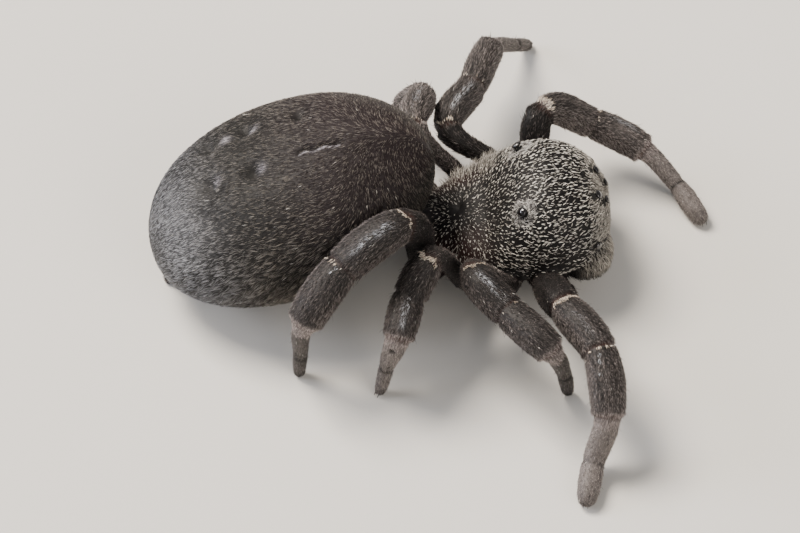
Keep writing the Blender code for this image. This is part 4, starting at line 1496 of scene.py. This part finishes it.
LEG_PLANS = (
    LegPlan(-1, 1, ((3.84, 4.30, 2.72), (4.76, 5.98, 2.66), (4.90, 7.83, 1.86), (4.47, 8.45, 0.53),
                    (4.21, 9.55)), 1.01, (0.41, 0.42, 0.38, 0.40, 0.35),
            LimbColours(paleness=1.0, flanks=0.85, marks=1.7, streak=(Segment.PATELLA, 10.0, 0.3), base=0.44,
                        flecks=((Segment.TIBIA, 0.14, 14.0), (Segment.TIBIA, 0.25, 17.0),
                                (Segment.TIBIA, 0.42, 22.0)))),
    LegPlan(-1, 2, ((1.23, 3.26, 3.15), (2.16, 4.56, 2.94), (3.35, 5.97, 2.73), (3.78, 5.60, 1.20),
                    (3.92, 5.45)), 0.95, (0.34, 0.30, 0.27, 0.27, 0.23),
            LimbColours(paleness=0.15, flanks=0.20, marks=1.0, streak=(Segment.PATELLA, 4.0, 1.0),
                        inner=0.3)),
    LegPlan(-1, 3, ((-0.06, 3.11, 3.64), (-0.70, 3.82, 2.94), (-1.14, 5.14, 2.60), (-1.45, 4.98, 1.13),
                    (-1.65, 5.12)), 0.94, (0.40, 0.35, 0.28, 0.27, 0.23),
            LimbColours(paleness=0.75, flanks=0.25, marks=0.8, streak=(Segment.TIBIA, -10.0, 0.9), pitted=1.0,
                        base=0.28, inner=0.3)),
    LegPlan(-1, 4, ((-0.84, 2.50, 4.61), (-2.67, 3.56, 4.07), (-3.86, 4.68, 2.96), (-4.00, 4.43, 1.18),
                    (-4.04, 4.31)), 1.06, (0.37, 0.31, 0.27, 0.26, 0.23),
            LimbColours(paleness=0.18, flanks=0.35, marks=0.8, streak=(Segment.PATELLA, -18.0, 0.6),
                        pitted=1.0, pit_turn=12.0, base=0.28,
                        flecks=((Segment.PATELLA, 0.30, -12.0), (Segment.PATELLA, 0.62, -20.0),
                                (Segment.TIBIA, 0.08, -14.0), (Segment.TIBIA, 0.16, -6.0)))),
    # The left first leg's high pale shares are partly its grey hair and partly a painted sheen of the light
    # on it
    LegPlan(1, 1, ((3.69, 3.24, 2.83), (5.23, 3.70, 1.74), (6.82, 2.84, 1.35), (7.74, 2.06, 0.61),
                   (8.36, 1.04)), 0.88, (0.34, 0.33, 0.31, 0.36, 0.33),
            LimbColours(paleness=1.0, flanks=0.60, marks=1.5, streak=(Segment.TIBIA, -20.0, 0.5), base=0.55,
                        inner=0.05)),
    LegPlan(1, 2, ((0.84, 3.17, 2.36), (1.64, 4.87, 2.25), (2.37, 6.70, 1.96), (3.14, 7.72, 0.90),
                   (3.58, 8.32)), 0.88, (0.31, 0.28, 0.26, 0.26, 0.24),
            LimbColours(paleness=0.45, flanks=0.40, marks=0.6, streak=(Segment.PATELLA, 12.0, 0.9),
                        base=0.42)),
    LegPlan(1, 3, ((-0.24, 2.60, 3.20), (0.06, 4.05, 2.80), (-0.40, 4.75, 1.64), (-1.06, 5.30, 0.50),
                   (-1.72, 5.75)), 0.85, (0.34, 0.31, 0.28, 0.28, 0.25),
            LimbColours(paleness=0.8, flanks=0.5, marks=0.3, pitted=1.0, base=0.75, inner=0.9)),
    LegPlan(1, 4, ((-2.15, 3.70, 2.35), (-4.20, 4.05, 1.95), (-6.00, 3.65, 1.25), (-7.15, 2.60, 0.55),
                   (-7.60, 1.85)), 0.93, (0.37, 0.34, 0.30, 0.30, 0.26),
            LimbColours(paleness=0.4, flanks=0.25, marks=0.7)),
)


@dataclass(frozen=True)
class PalpBuilder:
    """Makes the two short limbs beside the jaws, from knots on the left side and the radius at each."""

    knots: tuple[Place, ...] = (
        (3.80, 1.70, 1.15), (4.02, 2.10, 1.02), (4.20, 2.26, 0.78), (4.28, 2.20, 0.50),
    )
    radii: tuple[float, ...] = (0.24, 0.25, 0.26, 0.20)
    coat_depth: float = 0.03
    belly: float = 0.52
    start_bulge: float = 0.7
    joint_bulge: float = 0.6
    tip_bulge: float = 1.0

    def palp(self, side: int) -> Limb:
        """One palp as a part of the body."""
        places = [np.array(knot) * mirror(side) + WAIST for knot in self.knots]
        ways = [unit(end - start) for start, end in zip(places, places[1:])]
        headings = [ways[0], *(unit(before + after) for before, after in zip(ways, ways[1:])), ways[-1]]
        radii = [radius - self.coat_depth for radius in self.radii]
        stretches = []
        for number, (start, end) in enumerate(zip(radii, radii[1:])):
            end_bulge = self.tip_bulge if number == len(ways) - 1 else self.joint_bulge
            stretches.append(Stretch(f"joint_{number}", places[number], places[number + 1], headings[number],
                                     headings[number + 1], (start, self.belly * (start + end), end),
                                     (self.start_bulge, end_bulge)))
        hair = LimbHair(LimbColours(paleness=0.3, flanks=0.2, marks=0.0), density=0.8)
        return Limb(f"palp_{SIDES[side]}", stretches, hair=hair)


@dataclass
class Eye:
    """One eye in its socket on the shield: a domed lens and the low ring of horn that holds it.

    The lens is as high as a share of its radius, and so are the ring's girth and its height.
    """

    node: str
    shield: Shield
    dome: float = 0.55
    rim_girth: float = 0.16
    rim_height: float = 0.10

    def __post_init__(self) -> None:
        """Takes the eye's place from its solid and the way it looks from the shield under it."""
        low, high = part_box(self.node)
        self.centre = np.array((low + high) / 2.0) / MM
        self.radius = max(high - low) / 2.0 / MM
        step = 0.02
        rise = [self.shield.clearance(self.centre[None] + shift)[0]
                - self.shield.clearance(self.centre[None] - shift)[0] for shift in np.eye(3) * step]
        self.outward = unit(np.array(rise))

    @property
    def ringed(self) -> bool:
        """The two rear eyes that stand wide apart have a ring of pale hair."""
        return "rear_lateral" in self.node

    def clearance(self, points: Array) -> Array:
        """Distance of each point outside the eye."""
        return np.linalg.norm(points - self.centre, axis=1) - self.radius

    def socket(self) -> Matrix:
        """Frame at the eye's centre whose Z is the way it looks."""
        turn = Vector(self.outward).to_track_quat("Z", "Y").to_matrix().to_4x4()
        return Matrix.Translation(Vector(self.centre)) @ turn

    def build(self) -> bpy.types.Object:
        """The lens, a little flatter than a ball, in place of its solid."""
        bm = bmesh.new()
        spot = self.socket() @ Matrix.Diagonal((1.0, 1.0, self.dome, 1.0))
        bmesh.ops.create_uvsphere(bm, u_segments=32, v_segments=20, radius=self.radius, matrix=spot)
        mesh = finished_mesh(bm, self.node.replace("eye_", "lens_"))
        mesh.shade_smooth()
        piece = settled_piece(mesh, LensFinish().material())
        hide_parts(self.node)
        return piece

    def rim(self) -> bpy.types.Mesh:
        """The ring of horn round the lens, a small circle spun about the way the eye looks."""
        bm = bmesh.new()
        start = self.socket() @ Matrix.Translation((self.radius, 0.0, self.radius * self.rim_height))
        upright = Matrix.Rotation(math.radians(90.0), 4, "X")
        bmesh.ops.create_circle(bm, segments=10, radius=self.rim_girth * self.radius, matrix=start @ upright)
        bmesh.ops.spin(bm, geom=bm.verts[:] + bm.edges[:], cent=Vector(self.centre),
                       axis=Vector(self.outward), angle=math.tau, steps=32, use_merge=True)
        return finished_mesh(bm, f"{self.node}_rim")


@dataclass
class Skin:
    """One closed skin over all the flesh, fused from the parts' forms.

    Its points, normals, triangles and the triangles' parts are kept in millimetres for the coat.
    """

    parts: list[BodyPart]
    grain: float = 0.08
    smoothing: int = 3
    points: Array = field(init=False)
    normals: Array = field(init=False)
    triangles: Array = field(init=False)
    owner: Array = field(init=False)

    def fused(self) -> bpy.types.Mesh:
        """All forms as one even surface without inner walls."""
        loose = joined_mesh([form for part in self.parts for form in part.forms()], "spider_skin")
        holder = scene_object("spider_skin_forms", loose)
        remesh = holder.modifiers.new("fuse", "REMESH")
        remesh.mode = "VOXEL"
        remesh.voxel_size = self.grain
        bpy.context.view_layer.update()
        mesh = bpy.data.meshes.new_from_object(holder.evaluated_get(bpy.context.evaluated_depsgraph_get()))
        bpy.data.objects.remove(holder)
        bpy.data.meshes.remove(loose)
        bm = bmesh.new()
        bm.from_mesh(mesh)
        for _ in range(self.smoothing):
            bmesh.ops.smooth_vert(bm, verts=bm.verts, factor=0.5, use_axis_x=True, use_axis_y=True,
                                  use_axis_z=True)
        bm.to_mesh(mesh)
        bm.free()
        mesh.name = "spider_skin"
        return mesh

    def build(self) -> bpy.types.Object:
        """Fuses, carves and paints the skin, in place of all nodes but the eyes and the fangs."""
        mesh = self.fused()
        points, normals = mesh_points(mesh), mesh_normals(mesh)
        owner = np.argmin(np.stack([part.clearance(points) for part in self.parts]), axis=0)
        colours = np.zeros_like(points)
        for number, part in enumerate(self.parts):
            mine = owner == number
            reading = part.read(points[mine])
            colours[mine] = part.skin_tint(points[mine], reading)
            points[mine] += normals[mine] * part.relief(points[mine], reading)[:, None]
        points[:, 2] = np.maximum(points[:, 2], FLOOR_CLEARANCE)
        mesh.vertices.foreach_set("co", points.astype(np.float32).ravel())
        paint(mesh, colours)
        mesh.shade_smooth()
        mesh.update()
        mesh.calc_loop_triangles()
        corners = np.zeros(len(mesh.loop_triangles) * 3, int)
        mesh.loop_triangles.foreach_get("vertices", corners)
        self.points, self.normals, self.triangles = points, mesh_normals(mesh), corners.reshape(-1, 3)
        self.owner = owner[self.triangles[:, 0]]
        piece = settled_piece(mesh, CuticleFinish().material())
        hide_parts(*[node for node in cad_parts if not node.startswith(("eye_", "fang_"))])
        return piece

    def scatter(self, part: int, density: float, rng: Rng) -> tuple[Array, Array]:
        """Random places on one part of the skin.

        Args:
            part: number of the part.
            density: places on each square millimetre.
            rng: source of the draws.

        Returns:
            The places and the skin's outward ways there.
        """
        faces = self.triangles[self.owner == part]
        a, b, c = (self.points[faces[:, corner]] for corner in range(3))
        areas = 0.5 * np.linalg.norm(np.cross(b - a, c - a), axis=1)
        count = int(areas.sum() * density)
        pick = rng.choice(len(faces), size=count, p=areas / areas.sum())
        first, second = rng.uniform(size=(2, count))
        over = first + second > 1.0
        first[over], second[over] = 1.0 - first[over], 1.0 - second[over]
        shares = np.stack((1.0 - first - second, first, second), axis=1)[:, :, None]
        places = (self.points[faces[pick]] * shares).sum(axis=1)
        return places, unit((self.normals[faces[pick]] * shares).sum(axis=1))


@dataclass
class HairStock:
    """Hairs of one part, gathered until they are cut into pieces.

    Each batch is hairs of one shape: rows of their points, the triangles that all of them have, and rows of
    their colours and of their places on the flat map.
    """

    batches: list[tuple[Array, Array, Array, Array]] = field(default_factory=list)
    cuts: int = 4

    def pieces(self, name: str) -> list[bpy.types.Mesh]:
        """Cuts the stock into meshes that each stay under the limit on triangles."""
        groups, room = [[]], PIECE_TRIANGLES
        for points, triangles, colours, maps in self.batches:
            share = max(1, PIECE_TRIANGLES // len(triangles) // self.cuts)
            for start in range(0, len(points), share):
                cut = slice(start, start + share)
                size = len(points[cut]) * len(triangles)
                if size > room:
                    groups.append([])
                    room = PIECE_TRIANGLES
                groups[-1].append((points[cut], triangles, colours[cut], maps[cut]))
                room -= size
        plural = len(groups) > 1
        return [self.mesh(f"{name}_{number + 1}" if plural else name, group)
                for number, group in enumerate(groups)]

    def mesh(self, name: str, batches: list[tuple[Array, Array, Array, Array]]) -> bpy.types.Mesh:
        """One mesh of many hairs."""
        triangles, used = [], 0
        for spots, corners, _, _ in batches:
            count, each = spots.shape[:2]
            offsets = used + np.arange(count)[:, None, None] * each
            triangles.append((corners[None] + offsets).reshape(-1, 3))
            used += count * each
        points = np.vstack([batch[0].reshape(-1, 3) for batch in batches])
        maps = np.vstack([batch[3].reshape(-1, 2) for batch in batches])
        corners = np.vstack(triangles).astype(np.int32)
        mesh = bpy.data.meshes.new(name)
        mesh.vertices.add(used)
        mesh.vertices.foreach_set("co", points.astype(np.float32).ravel())
        mesh.loops.add(corners.size)
        mesh.loops.foreach_set("vertex_index", corners.ravel())
        mesh.polygons.add(len(corners))
        mesh.polygons.foreach_set("loop_start", np.arange(0, corners.size, 3, dtype=np.int32))
        mesh.update(calc_edges=True)
        paint(mesh, np.vstack([batch[2].reshape(-1, 3) for batch in batches]))
        layer = mesh.uv_layers.new(name=BAKE_MAP)
        layer.data.foreach_set("uv", maps[corners.ravel()].astype(np.float32).ravel())
        return mesh


def hair_triangles(rings: int) -> Array:
    """Corners of one closed three-sided hair: its root, its sides from ring to ring and its tip."""
    faces = [(0, 2, 1)]
    for ring in range(rings - 1):
        for side in range(3):
            a, b = 3 * ring + side, 3 * ring + (side + 1) % 3
            faces += [(a, b, b + 3), (a, b + 3, a + 3)]
    tip, last = 3 * rings, 3 * (rings - 1)
    faces += [(last + side, last + (side + 1) % 3, tip) for side in range(3)]
    return np.array(faces)


def spaced(points: Array, gap: float) -> Array:
    """Numbers of the points that stay when none may be nearer to another than gap."""
    cells: dict[tuple[int, ...], list[int]] = {}
    kept = []
    for number, key in enumerate(map(tuple, np.floor(points / gap).astype(int))):
        around = product(*((along - 1, along, along + 1) for along in key))
        near = [other for cell in around for other in cells.get(cell, ())]
        if all(((points[number] - points[other]) ** 2).sum() >= gap * gap for other in near):
            cells.setdefault(key, []).append(number)
            kept.append(number)
    return np.array(kept, int)


@dataclass
class Coat:
    """Hair of the whole spider, grown pelt by pelt on the skin.

    sink is how deep the roots stand, and eye_room how far hair keeps from an eye, in radii of the eye.
    lift_spread and thickness say how unlike the hairs of one pelt are, and steepness bounds their lift in
    degrees. The tip of a lock is lock_reach mean lengths from the root of its leader.
    """

    skin: Skin
    eyes: list[Eye]
    sink: float = 0.015
    eye_room: float = 1.14
    lift_spread: float = 0.3
    steepness: tuple[float, float] = (2.0, 80.0)
    thickness: tuple[float, float] = (0.75, 1.25)
    lock_reach: float = 1.2
    seed: int = 700

    def grow(self, number: int, pelt: Pelt, rng: Rng, stock: HairStock) -> None:
        """Adds the hairs of one pelt to the stock.

        Args:
            number: number of the part that they grow on.
            pelt: the kind of hair.
            rng: source of the draws.
            stock: takes the hairs.
        """
        part = self.skin.parts[number]
        lie = pelt.lie or part.lie
        roots, normals = self.skin.scatter(number, pelt.density, rng)
        reading = part.read(roots)
        keep = rng.uniform(size=len(roots)) < (1.0 if pelt.grows is None else pelt.grows(reading, roots))
        reach = unit(lie(roots, reading)) * pelt.length[1]
        for eye in self.eyes:
            for spots in (roots, roots + 0.5 * reach, roots + reach):
                keep &= np.linalg.norm(spots - eye.centre, axis=1) > eye.radius * self.eye_room
        kept = np.flatnonzero(keep)
        if pelt.spacing:
            kept = kept[spaced(roots[kept], pelt.spacing)]
        if not len(kept):
            return
        roots, normals, reading = roots[kept], normals[kept], reading.kept(kept)
        way = lie(roots, reading)
        along = unit(way - normals * (way * normals).sum(axis=1, keepdims=True))
        swing = np.radians(rng.normal(0.0, pelt.sway, len(kept)))[:, None]
        along = along * np.cos(swing) + np.cross(normals, along) * np.sin(swing)
        lengths = rng.uniform(*pelt.length, len(kept))
        if pelt.stretch is not None:
            lengths = lengths * pelt.stretch(reading)
        shift = np.zeros_like(roots)
        if pelt.lock_size:
            shift = self.lock_shift(roots, along, lengths, pelt, rng) * pelt.lock_pull(reading)[:, None]
        tints = pelt.tint(reading, roots, rng)
        self.shape(pelt, roots, normals, along, lengths, shift, tints, reading.unwrap, rng, stock)

    def lock_shift(self, roots: Array, along: Array, lengths: Array, pelt: Pelt, rng: Rng) -> Array:
        """How far each tip would move to meet the tip of the lock that it belongs to."""
        leaders = rng.permutation(len(roots))[:max(1, int(len(roots) / (pelt.density * pelt.lock_size ** 2)))]
        tree = KDTree(len(leaders))
        for number, leader in enumerate(leaders):
            tree.insert(roots[leader], number)
        tree.balance()
        chosen = leaders[[tree.find(root)[1] for root in roots]]
        tips = roots[chosen] + along[chosen] * lengths.mean() * self.lock_reach
        return tips - (roots + along * lengths[:, None])

    def shape(self, pelt: Pelt, roots: Array, normals: Array, along: Array, lengths: Array, shift: Array,
              tints: Tints, unwrap: Array, rng: Rng, stock: HairStock) -> None:
        """Turns roots and ways into closed hairs.

        Args:
            pelt: the kind of hair.
            roots: where the hairs grow.
            normals: outward ways of the skin there.
            along: ways that the hairs point.
            lengths: their lengths.
            shift: how far their tips are drawn to a lock.
            tints: colours at root and tip.
            unwrap: the roots' places on the flat map.
            rng: source of the draws.
            stock: takes the hairs.
        """
        count, rings = len(roots), pelt.shape.value
        degrees = rng.normal(pelt.lift, self.lift_spread * pelt.lift, count)
        lift = np.radians(np.clip(degrees, *self.steepness))
        roll = rng.uniform(0.0, math.tau, count)
        thick = pelt.width * rng.uniform(*self.thickness, count)
        side = np.cross(along, normals)
        points = np.zeros((count, 3 * len(rings) + 1, 3))
        tone = np.zeros_like(points)
        flat = np.zeros((count, 3 * len(rings) + 1, 2))

        def middle(t: float) -> Array:
            rise = np.sin(lift) * t - pelt.curl * t * t
            reach = along * (lengths * np.cos(lift) * t)[:, None]
            return roots + reach + normals * (lengths * rise - self.sink * (1.0 - t))[:, None] + shift * t * t

        for ring, (t, width) in enumerate(rings):
            centre = middle(t)
            for corner in range(3):
                turn = corner * math.tau / 3.0
                angle = roll + turn
                out = side * np.cos(angle)[:, None] + normals * np.sin(angle)[:, None]
                spot = 3 * ring + corner
                points[:, spot] = centre + out * (0.5 * thick * width)[:, None]
                tone[:, spot] = blend(*tints, t)
                flat[:, spot] = unwrap + PATCH * (1.0 - t) * np.array((math.cos(turn), math.sin(turn)))
        points[:, -1], tone[:, -1], flat[:, -1] = middle(1.0), tints[1], unwrap
        points[:, :, 2] = np.maximum(points[:, :, 2], FLOOR_CLEARANCE)
        stock.batches.append((points, hair_triangles(len(rings)), tone, np.clip(flat, 0.0, 1.0)))

    def build(self) -> int:
        """Grows the hair of every part, and returns how many triangles it has."""
        velvet = HairFinish().material()
        total = 0
        for number, part in enumerate(self.skin.parts):
            stock = HairStock()
            for turn, pelt in enumerate(part.pelts()):
                self.grow(number, pelt, np.random.default_rng((self.seed, number, turn)), stock)
            if not stock.batches:
                continue
            for mesh in stock.pieces(f"coat_{part.name}"):
                total += len(mesh.polygons)
                settled_piece(mesh, velvet)
                LOG.info("%s: %d triangles", mesh.name, len(mesh.polygons))
        return total


@dataclass(frozen=True)
class Fang:
    """One curved fang under its jaw, a little slimmer than its solid."""

    side: int
    route: tuple[Place, ...] = (
        (4.97, 1.00, 0.90), (4.87, 0.90, 0.50), (4.52, 0.68, 0.33), (4.12, 0.50, 0.36),
    )
    radii: tuple[float, ...] = (0.27, 0.25, 0.17, 0.05)
    slimming: float = 0.96
    steps: int = 12

    def build(self) -> bpy.types.Object:
        """The fang in place of its solid, darker to its tip."""
        knots = np.array(self.route) * mirror(self.side) + WAIST
        centres = knotted_curve(knots, self.steps)
        share = np.linspace(0.0, len(self.radii) - 1.0, len(centres))
        radii = np.interp(share, np.arange(len(self.radii)), self.radii) * self.slimming
        route = rounded_route(centres, radii, start_bulge=0.4, end_bulge=1.0)
        mesh = tube_form(f"horn_fang_{SIDES[self.side]}", *route, sides=28)
        reach = np.linalg.norm(mesh_points(mesh) - knots[0], axis=1) / np.linalg.norm(knots[-1] - knots[0])
        paint(mesh, np.clip(reach, 0.0, 1.0)[:, None])
        mesh.shade_smooth()
        finish = HornFinish("polished_fang_horn", root="#4a1c12", tip="#120605", roughness=0.22)
        piece = settled_piece(mesh, finish.material())
        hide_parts(f"fang_{SIDES[self.side]}")
        return piece


@dataclass(frozen=True)
class Claws:
    """The pair of small hooked claws at the tip of each leg.

    hook gives knots along a claw, each by its share of the length ahead of the root and its rise.
    """

    legs: list[Limb]
    length: float = 0.14
    radius: float = 0.024
    tip_share: float = 0.25
    spread: float = 0.07
    rise: float = 0.02
    grip: float = 0.55
    darkness: float = 0.7
    hook: tuple[tuple[float, float], ...] = ((0.0, 0.0), (0.55, 0.05), (1.0, -0.04), (1.12, -0.14))

    def build(self) -> bpy.types.Object:
        """All claws as one piece."""
        meshes = []
        for leg in self.legs:
            ahead = unit(leg.ways[-1] * LEVEL + 1e-6)
            base = leg.centres[-1] + leg.ways[-1] * leg.radii[-1] * self.grip
            for hand in (1.0, -1.0):
                root = base + np.cross(UP, ahead) * self.spread * hand + leg.backs[-1] * self.rise
                out = ahead * self.length
                knots = np.array([root + out * share + UP * rise for share, rise in self.hook])
                knots[:, 2] = np.maximum(knots[:, 2], self.radius + FLOOR_CLEARANCE)
                centres = knotted_curve(knots, steps=4)
                radii = self.radius * np.linspace(1.0, self.tip_share, len(centres))
                route = rounded_route(centres, radii, start_bulge=0.5, end_bulge=1.0)
                meshes.append(tube_form("claw", *route, sides=8))
        mesh = joined_mesh(meshes, "toe_claws")
        paint(mesh, np.full(3, self.darkness))
        mesh.shade_smooth()
        finish = HornFinish("dark_claw_horn", root="#2a1a14", tip="#0a0706", roughness=0.30)
        return settled_piece(mesh, finish.material())


@dataclass(frozen=True)
class Studio:
    """Pale floor, soft lights and the camera at the photo's angle, with its distances in millimetres."""

    azimuth: float = -3.0
    elevation: float = 50.4
    target: Place = (-1.015, -0.81, 1.5)
    distance: float = 200.0
    frame_width: float = 24.0
    sensor: float = 36.0
    paper_grain: float = 0.4

    def add_floor(self) -> None:
        """A plain pale floor of matt paper with a faint tooth."""
        bm = bmesh.new()
        bmesh.ops.create_grid(bm, x_segments=8, y_segments=8, size=0.8)
        mesh = finished_mesh(bm, "studio_floor")
        floor = scene_object("studio_floor", mesh)
        material, tree, shader = new_material("matt_paper", {"Base Color": (*linear("#d9d6d0"), 1.0),
                                                             "Roughness": 0.9})
        spot = add_node(tree, "ShaderNodeTexCoord").outputs["Object"]
        tooth = add_node(tree, "ShaderNodeTexNoise", {"Scale": pattern_scale(self.paper_grain)},
                         {"Vector": spot})
        bump = add_node(tree, "ShaderNodeBump", {"Strength": 0.08, "Distance": 0.02 * MM},
                        {"Height": tooth.outputs["Fac"]})
        tree.links.new(bump.outputs[0], shader.inputs["Normal"])
        mesh.materials.append(material)

    def add_lamp(self, name: str, way: Place, distance: float, size: float, power: float,
                 colour: str) -> None:
        """A square soft lamp, in metres and watts, that faces the spider from the given way."""
        data = bpy.data.lights.new(name, "AREA")
        data.shape = "SQUARE"
        data.size = size
        data.energy = power
        data.color = linear(colour)
        lamp = scene_object(name, data)
        out = Vector(way).normalized()
        lamp.location = out * distance
        lamp.rotation_mode = "QUATERNION"
        lamp.rotation_quaternion = out.to_track_quat("Z", "Y")

    def add_world(self) -> None:
        """An even pale surrounding."""
        world = bpy.data.worlds.new("studio_air")
        world.use_nodes = True
        back = world.node_tree.nodes["Background"]
        back.inputs["Color"].default_value = (*linear("#e6e9ee"), 1.0)
        back.inputs["Strength"].default_value = 0.36
        bpy.context.scene.world = world

    def add_camera(self) -> None:
        """The camera where the photographer's stood, turned with the spider onto the floor."""
        turn, rise = math.radians(self.azimuth), math.radians(self.elevation)
        back = Vector((math.sin(turn) * math.cos(rise), -math.cos(turn) * math.cos(rise), math.sin(rise)))
        data = bpy.data.cameras.new("camera")
        data.sensor_width = self.sensor
        data.lens = self.sensor * self.distance / self.frame_width
        data.clip_start, data.clip_end = 0.005, 10.0
        camera = scene_object("camera", data)
        camera.location = (Vector(self.target) + back * self.distance) * MM
        camera.rotation_mode = "QUATERNION"
        camera.rotation_quaternion = back.to_track_quat("Z", "Y")
        bpy.context.scene.camera = camera

    def build(self) -> None:
        """Sets up floor, lamps, world and camera."""
        self.add_floor()
        self.add_lamp("key", (-0.55, 0.45, 1.0), distance=0.42, size=0.20, power=3.9, colour="#fff5e8")
        self.add_lamp("rear_sheen", (-1.0, 0.15, 0.35), distance=0.40, size=0.22, power=1.5, colour="#f0f3ff")
        self.add_lamp("front_fill", (0.7, -0.9, 0.7), distance=0.45, size=0.30, power=1.1, colour="#fff6ec")
        self.add_world()
        self.add_camera()


@dataclass(frozen=True)
class Spinnerets:
    """Silk tubes at the end of the abdomen, four round the end of a short base.

    Their last rings stand tip_inset inside the end of their solid. The base starts base_start ahead of the
    solid's middle and ends base_end short of those rings.
    """

    spread: float = 0.19
    tip_inset: float = 0.24
    base_start: float = 0.5
    base_end: float = 0.06
    tube_length: float = 0.75
    tube_radii: Place = (0.21, 0.215, 0.19)
    base_radii: Place = (0.34, 0.36, 0.32)

    def limb(self, abdomen: Abdomen) -> Limb:
        """The spinnerets as a part of the body."""
        low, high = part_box("spinnerets")
        middle = np.array((low + high) / 2.0) / MM
        back = unit(-abdomen.axes()[:, 0] * LEVEL)
        across = np.cross(back, UP)
        reach = abs(float(np.array(high - low) @ back)) / MM
        end = middle + back * (0.5 * reach - self.tip_inset)
        tubes = []
        for lift in (self.spread, -self.spread):
            for shift in (self.spread, -self.spread):
                tip = end + across * shift + UP * lift
                start = tip - back * self.tube_length
                tubes.append(Stretch("tube", start, tip, back, back, self.tube_radii, (0.8, 1.0)))
        base = Stretch("base", middle - back * self.base_start, end - back * self.base_end, back, back,
                       self.base_radii)
        hair = LimbHair(LimbColours(paleness=0.1, flanks=0.1, marks=0.0), density=0.7)
        return Limb("spinnerets", [base, *tubes], slot=Slot.ABDOMEN, hair=hair)


@dataclass(frozen=True)
class Waist:
    """The thin bare waist between thorax and abdomen."""

    front: Place = (0.7, 0.0, 1.75)
    rear: Place = (-2.3, 0.0, 1.75)
    radius: float = 0.44

    def limb(self) -> Limb:
        """The waist as a part of the body."""
        start, end = np.array(self.front) + WAIST, np.array(self.rear) + WAIST
        way = unit(end - start)
        return Limb("waist", [Stretch("tube", start, end, way, way, (self.radius,) * 3)], slot=Slot.ABDOMEN)


@dataclass
class Spider:
    """The whole animal: its body parts, their shared skin and coat, and its hard pieces."""

    shield: Shield = field(default_factory=Shield)
    legs: list[Limb] = field(default_factory=lambda: [LegBuilder().leg(plan) for plan in LEG_PLANS])

    def parts(self) -> list[BodyPart]:
        """All parts that the skin covers; right leg 4 presses into the abdomen."""
        abdomen = Abdomen(pressing=[leg for leg in self.legs if leg.name == "leg_right_4"])
        jaws = [Jaw(f"jaw_{word}", side) for side, word in SIDES.items()]
        palps = [PalpBuilder().palp(side) for side in SIDES]
        return [abdomen, self.shield, *jaws, *self.legs, *palps, Waist().limb(), Spinnerets().limb(abdomen)]

    def eye_rims(self) -> bpy.types.Object:
        """The rings of horn round all the eyes as one piece."""
        rims = joined_mesh([eye.rim() for eye in self.shield.eyes], "eye_rims")
        paint(rims, linear("#0b0909"))
        rims.shade_smooth()
        return settled_piece(rims, CuticleFinish("eye_rim_cuticle", roughness=0.3).material())

    def build(self) -> None:
        """Builds every piece of the spider in turn."""
        eyes = [Eye(node, self.shield) for node in sorted(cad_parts) if node.startswith("eye_")]
        self.shield.eyes = eyes
        skin = Skin(self.parts())
        hard = [skin.build(), self.eye_rims(), *(eye.build() for eye in eyes)]
        hard += [Fang(1).build(), Fang(-1).build(), Claws(self.legs).build()]
        for piece in hard:
            LOG.info("%s: %d faces", piece.name, len(piece.data.polygons))
        LOG.info("coat: %d triangles", Coat(skin, eyes).build())


def main() -> None:
    """Builds the spider and its studio, and logs how many faces and triangles its pieces have."""
    logging.basicConfig(level=logging.INFO, format="%(message)s")
    Spider().build()
    Studio().build()


if __name__ == "__main__":
    main()
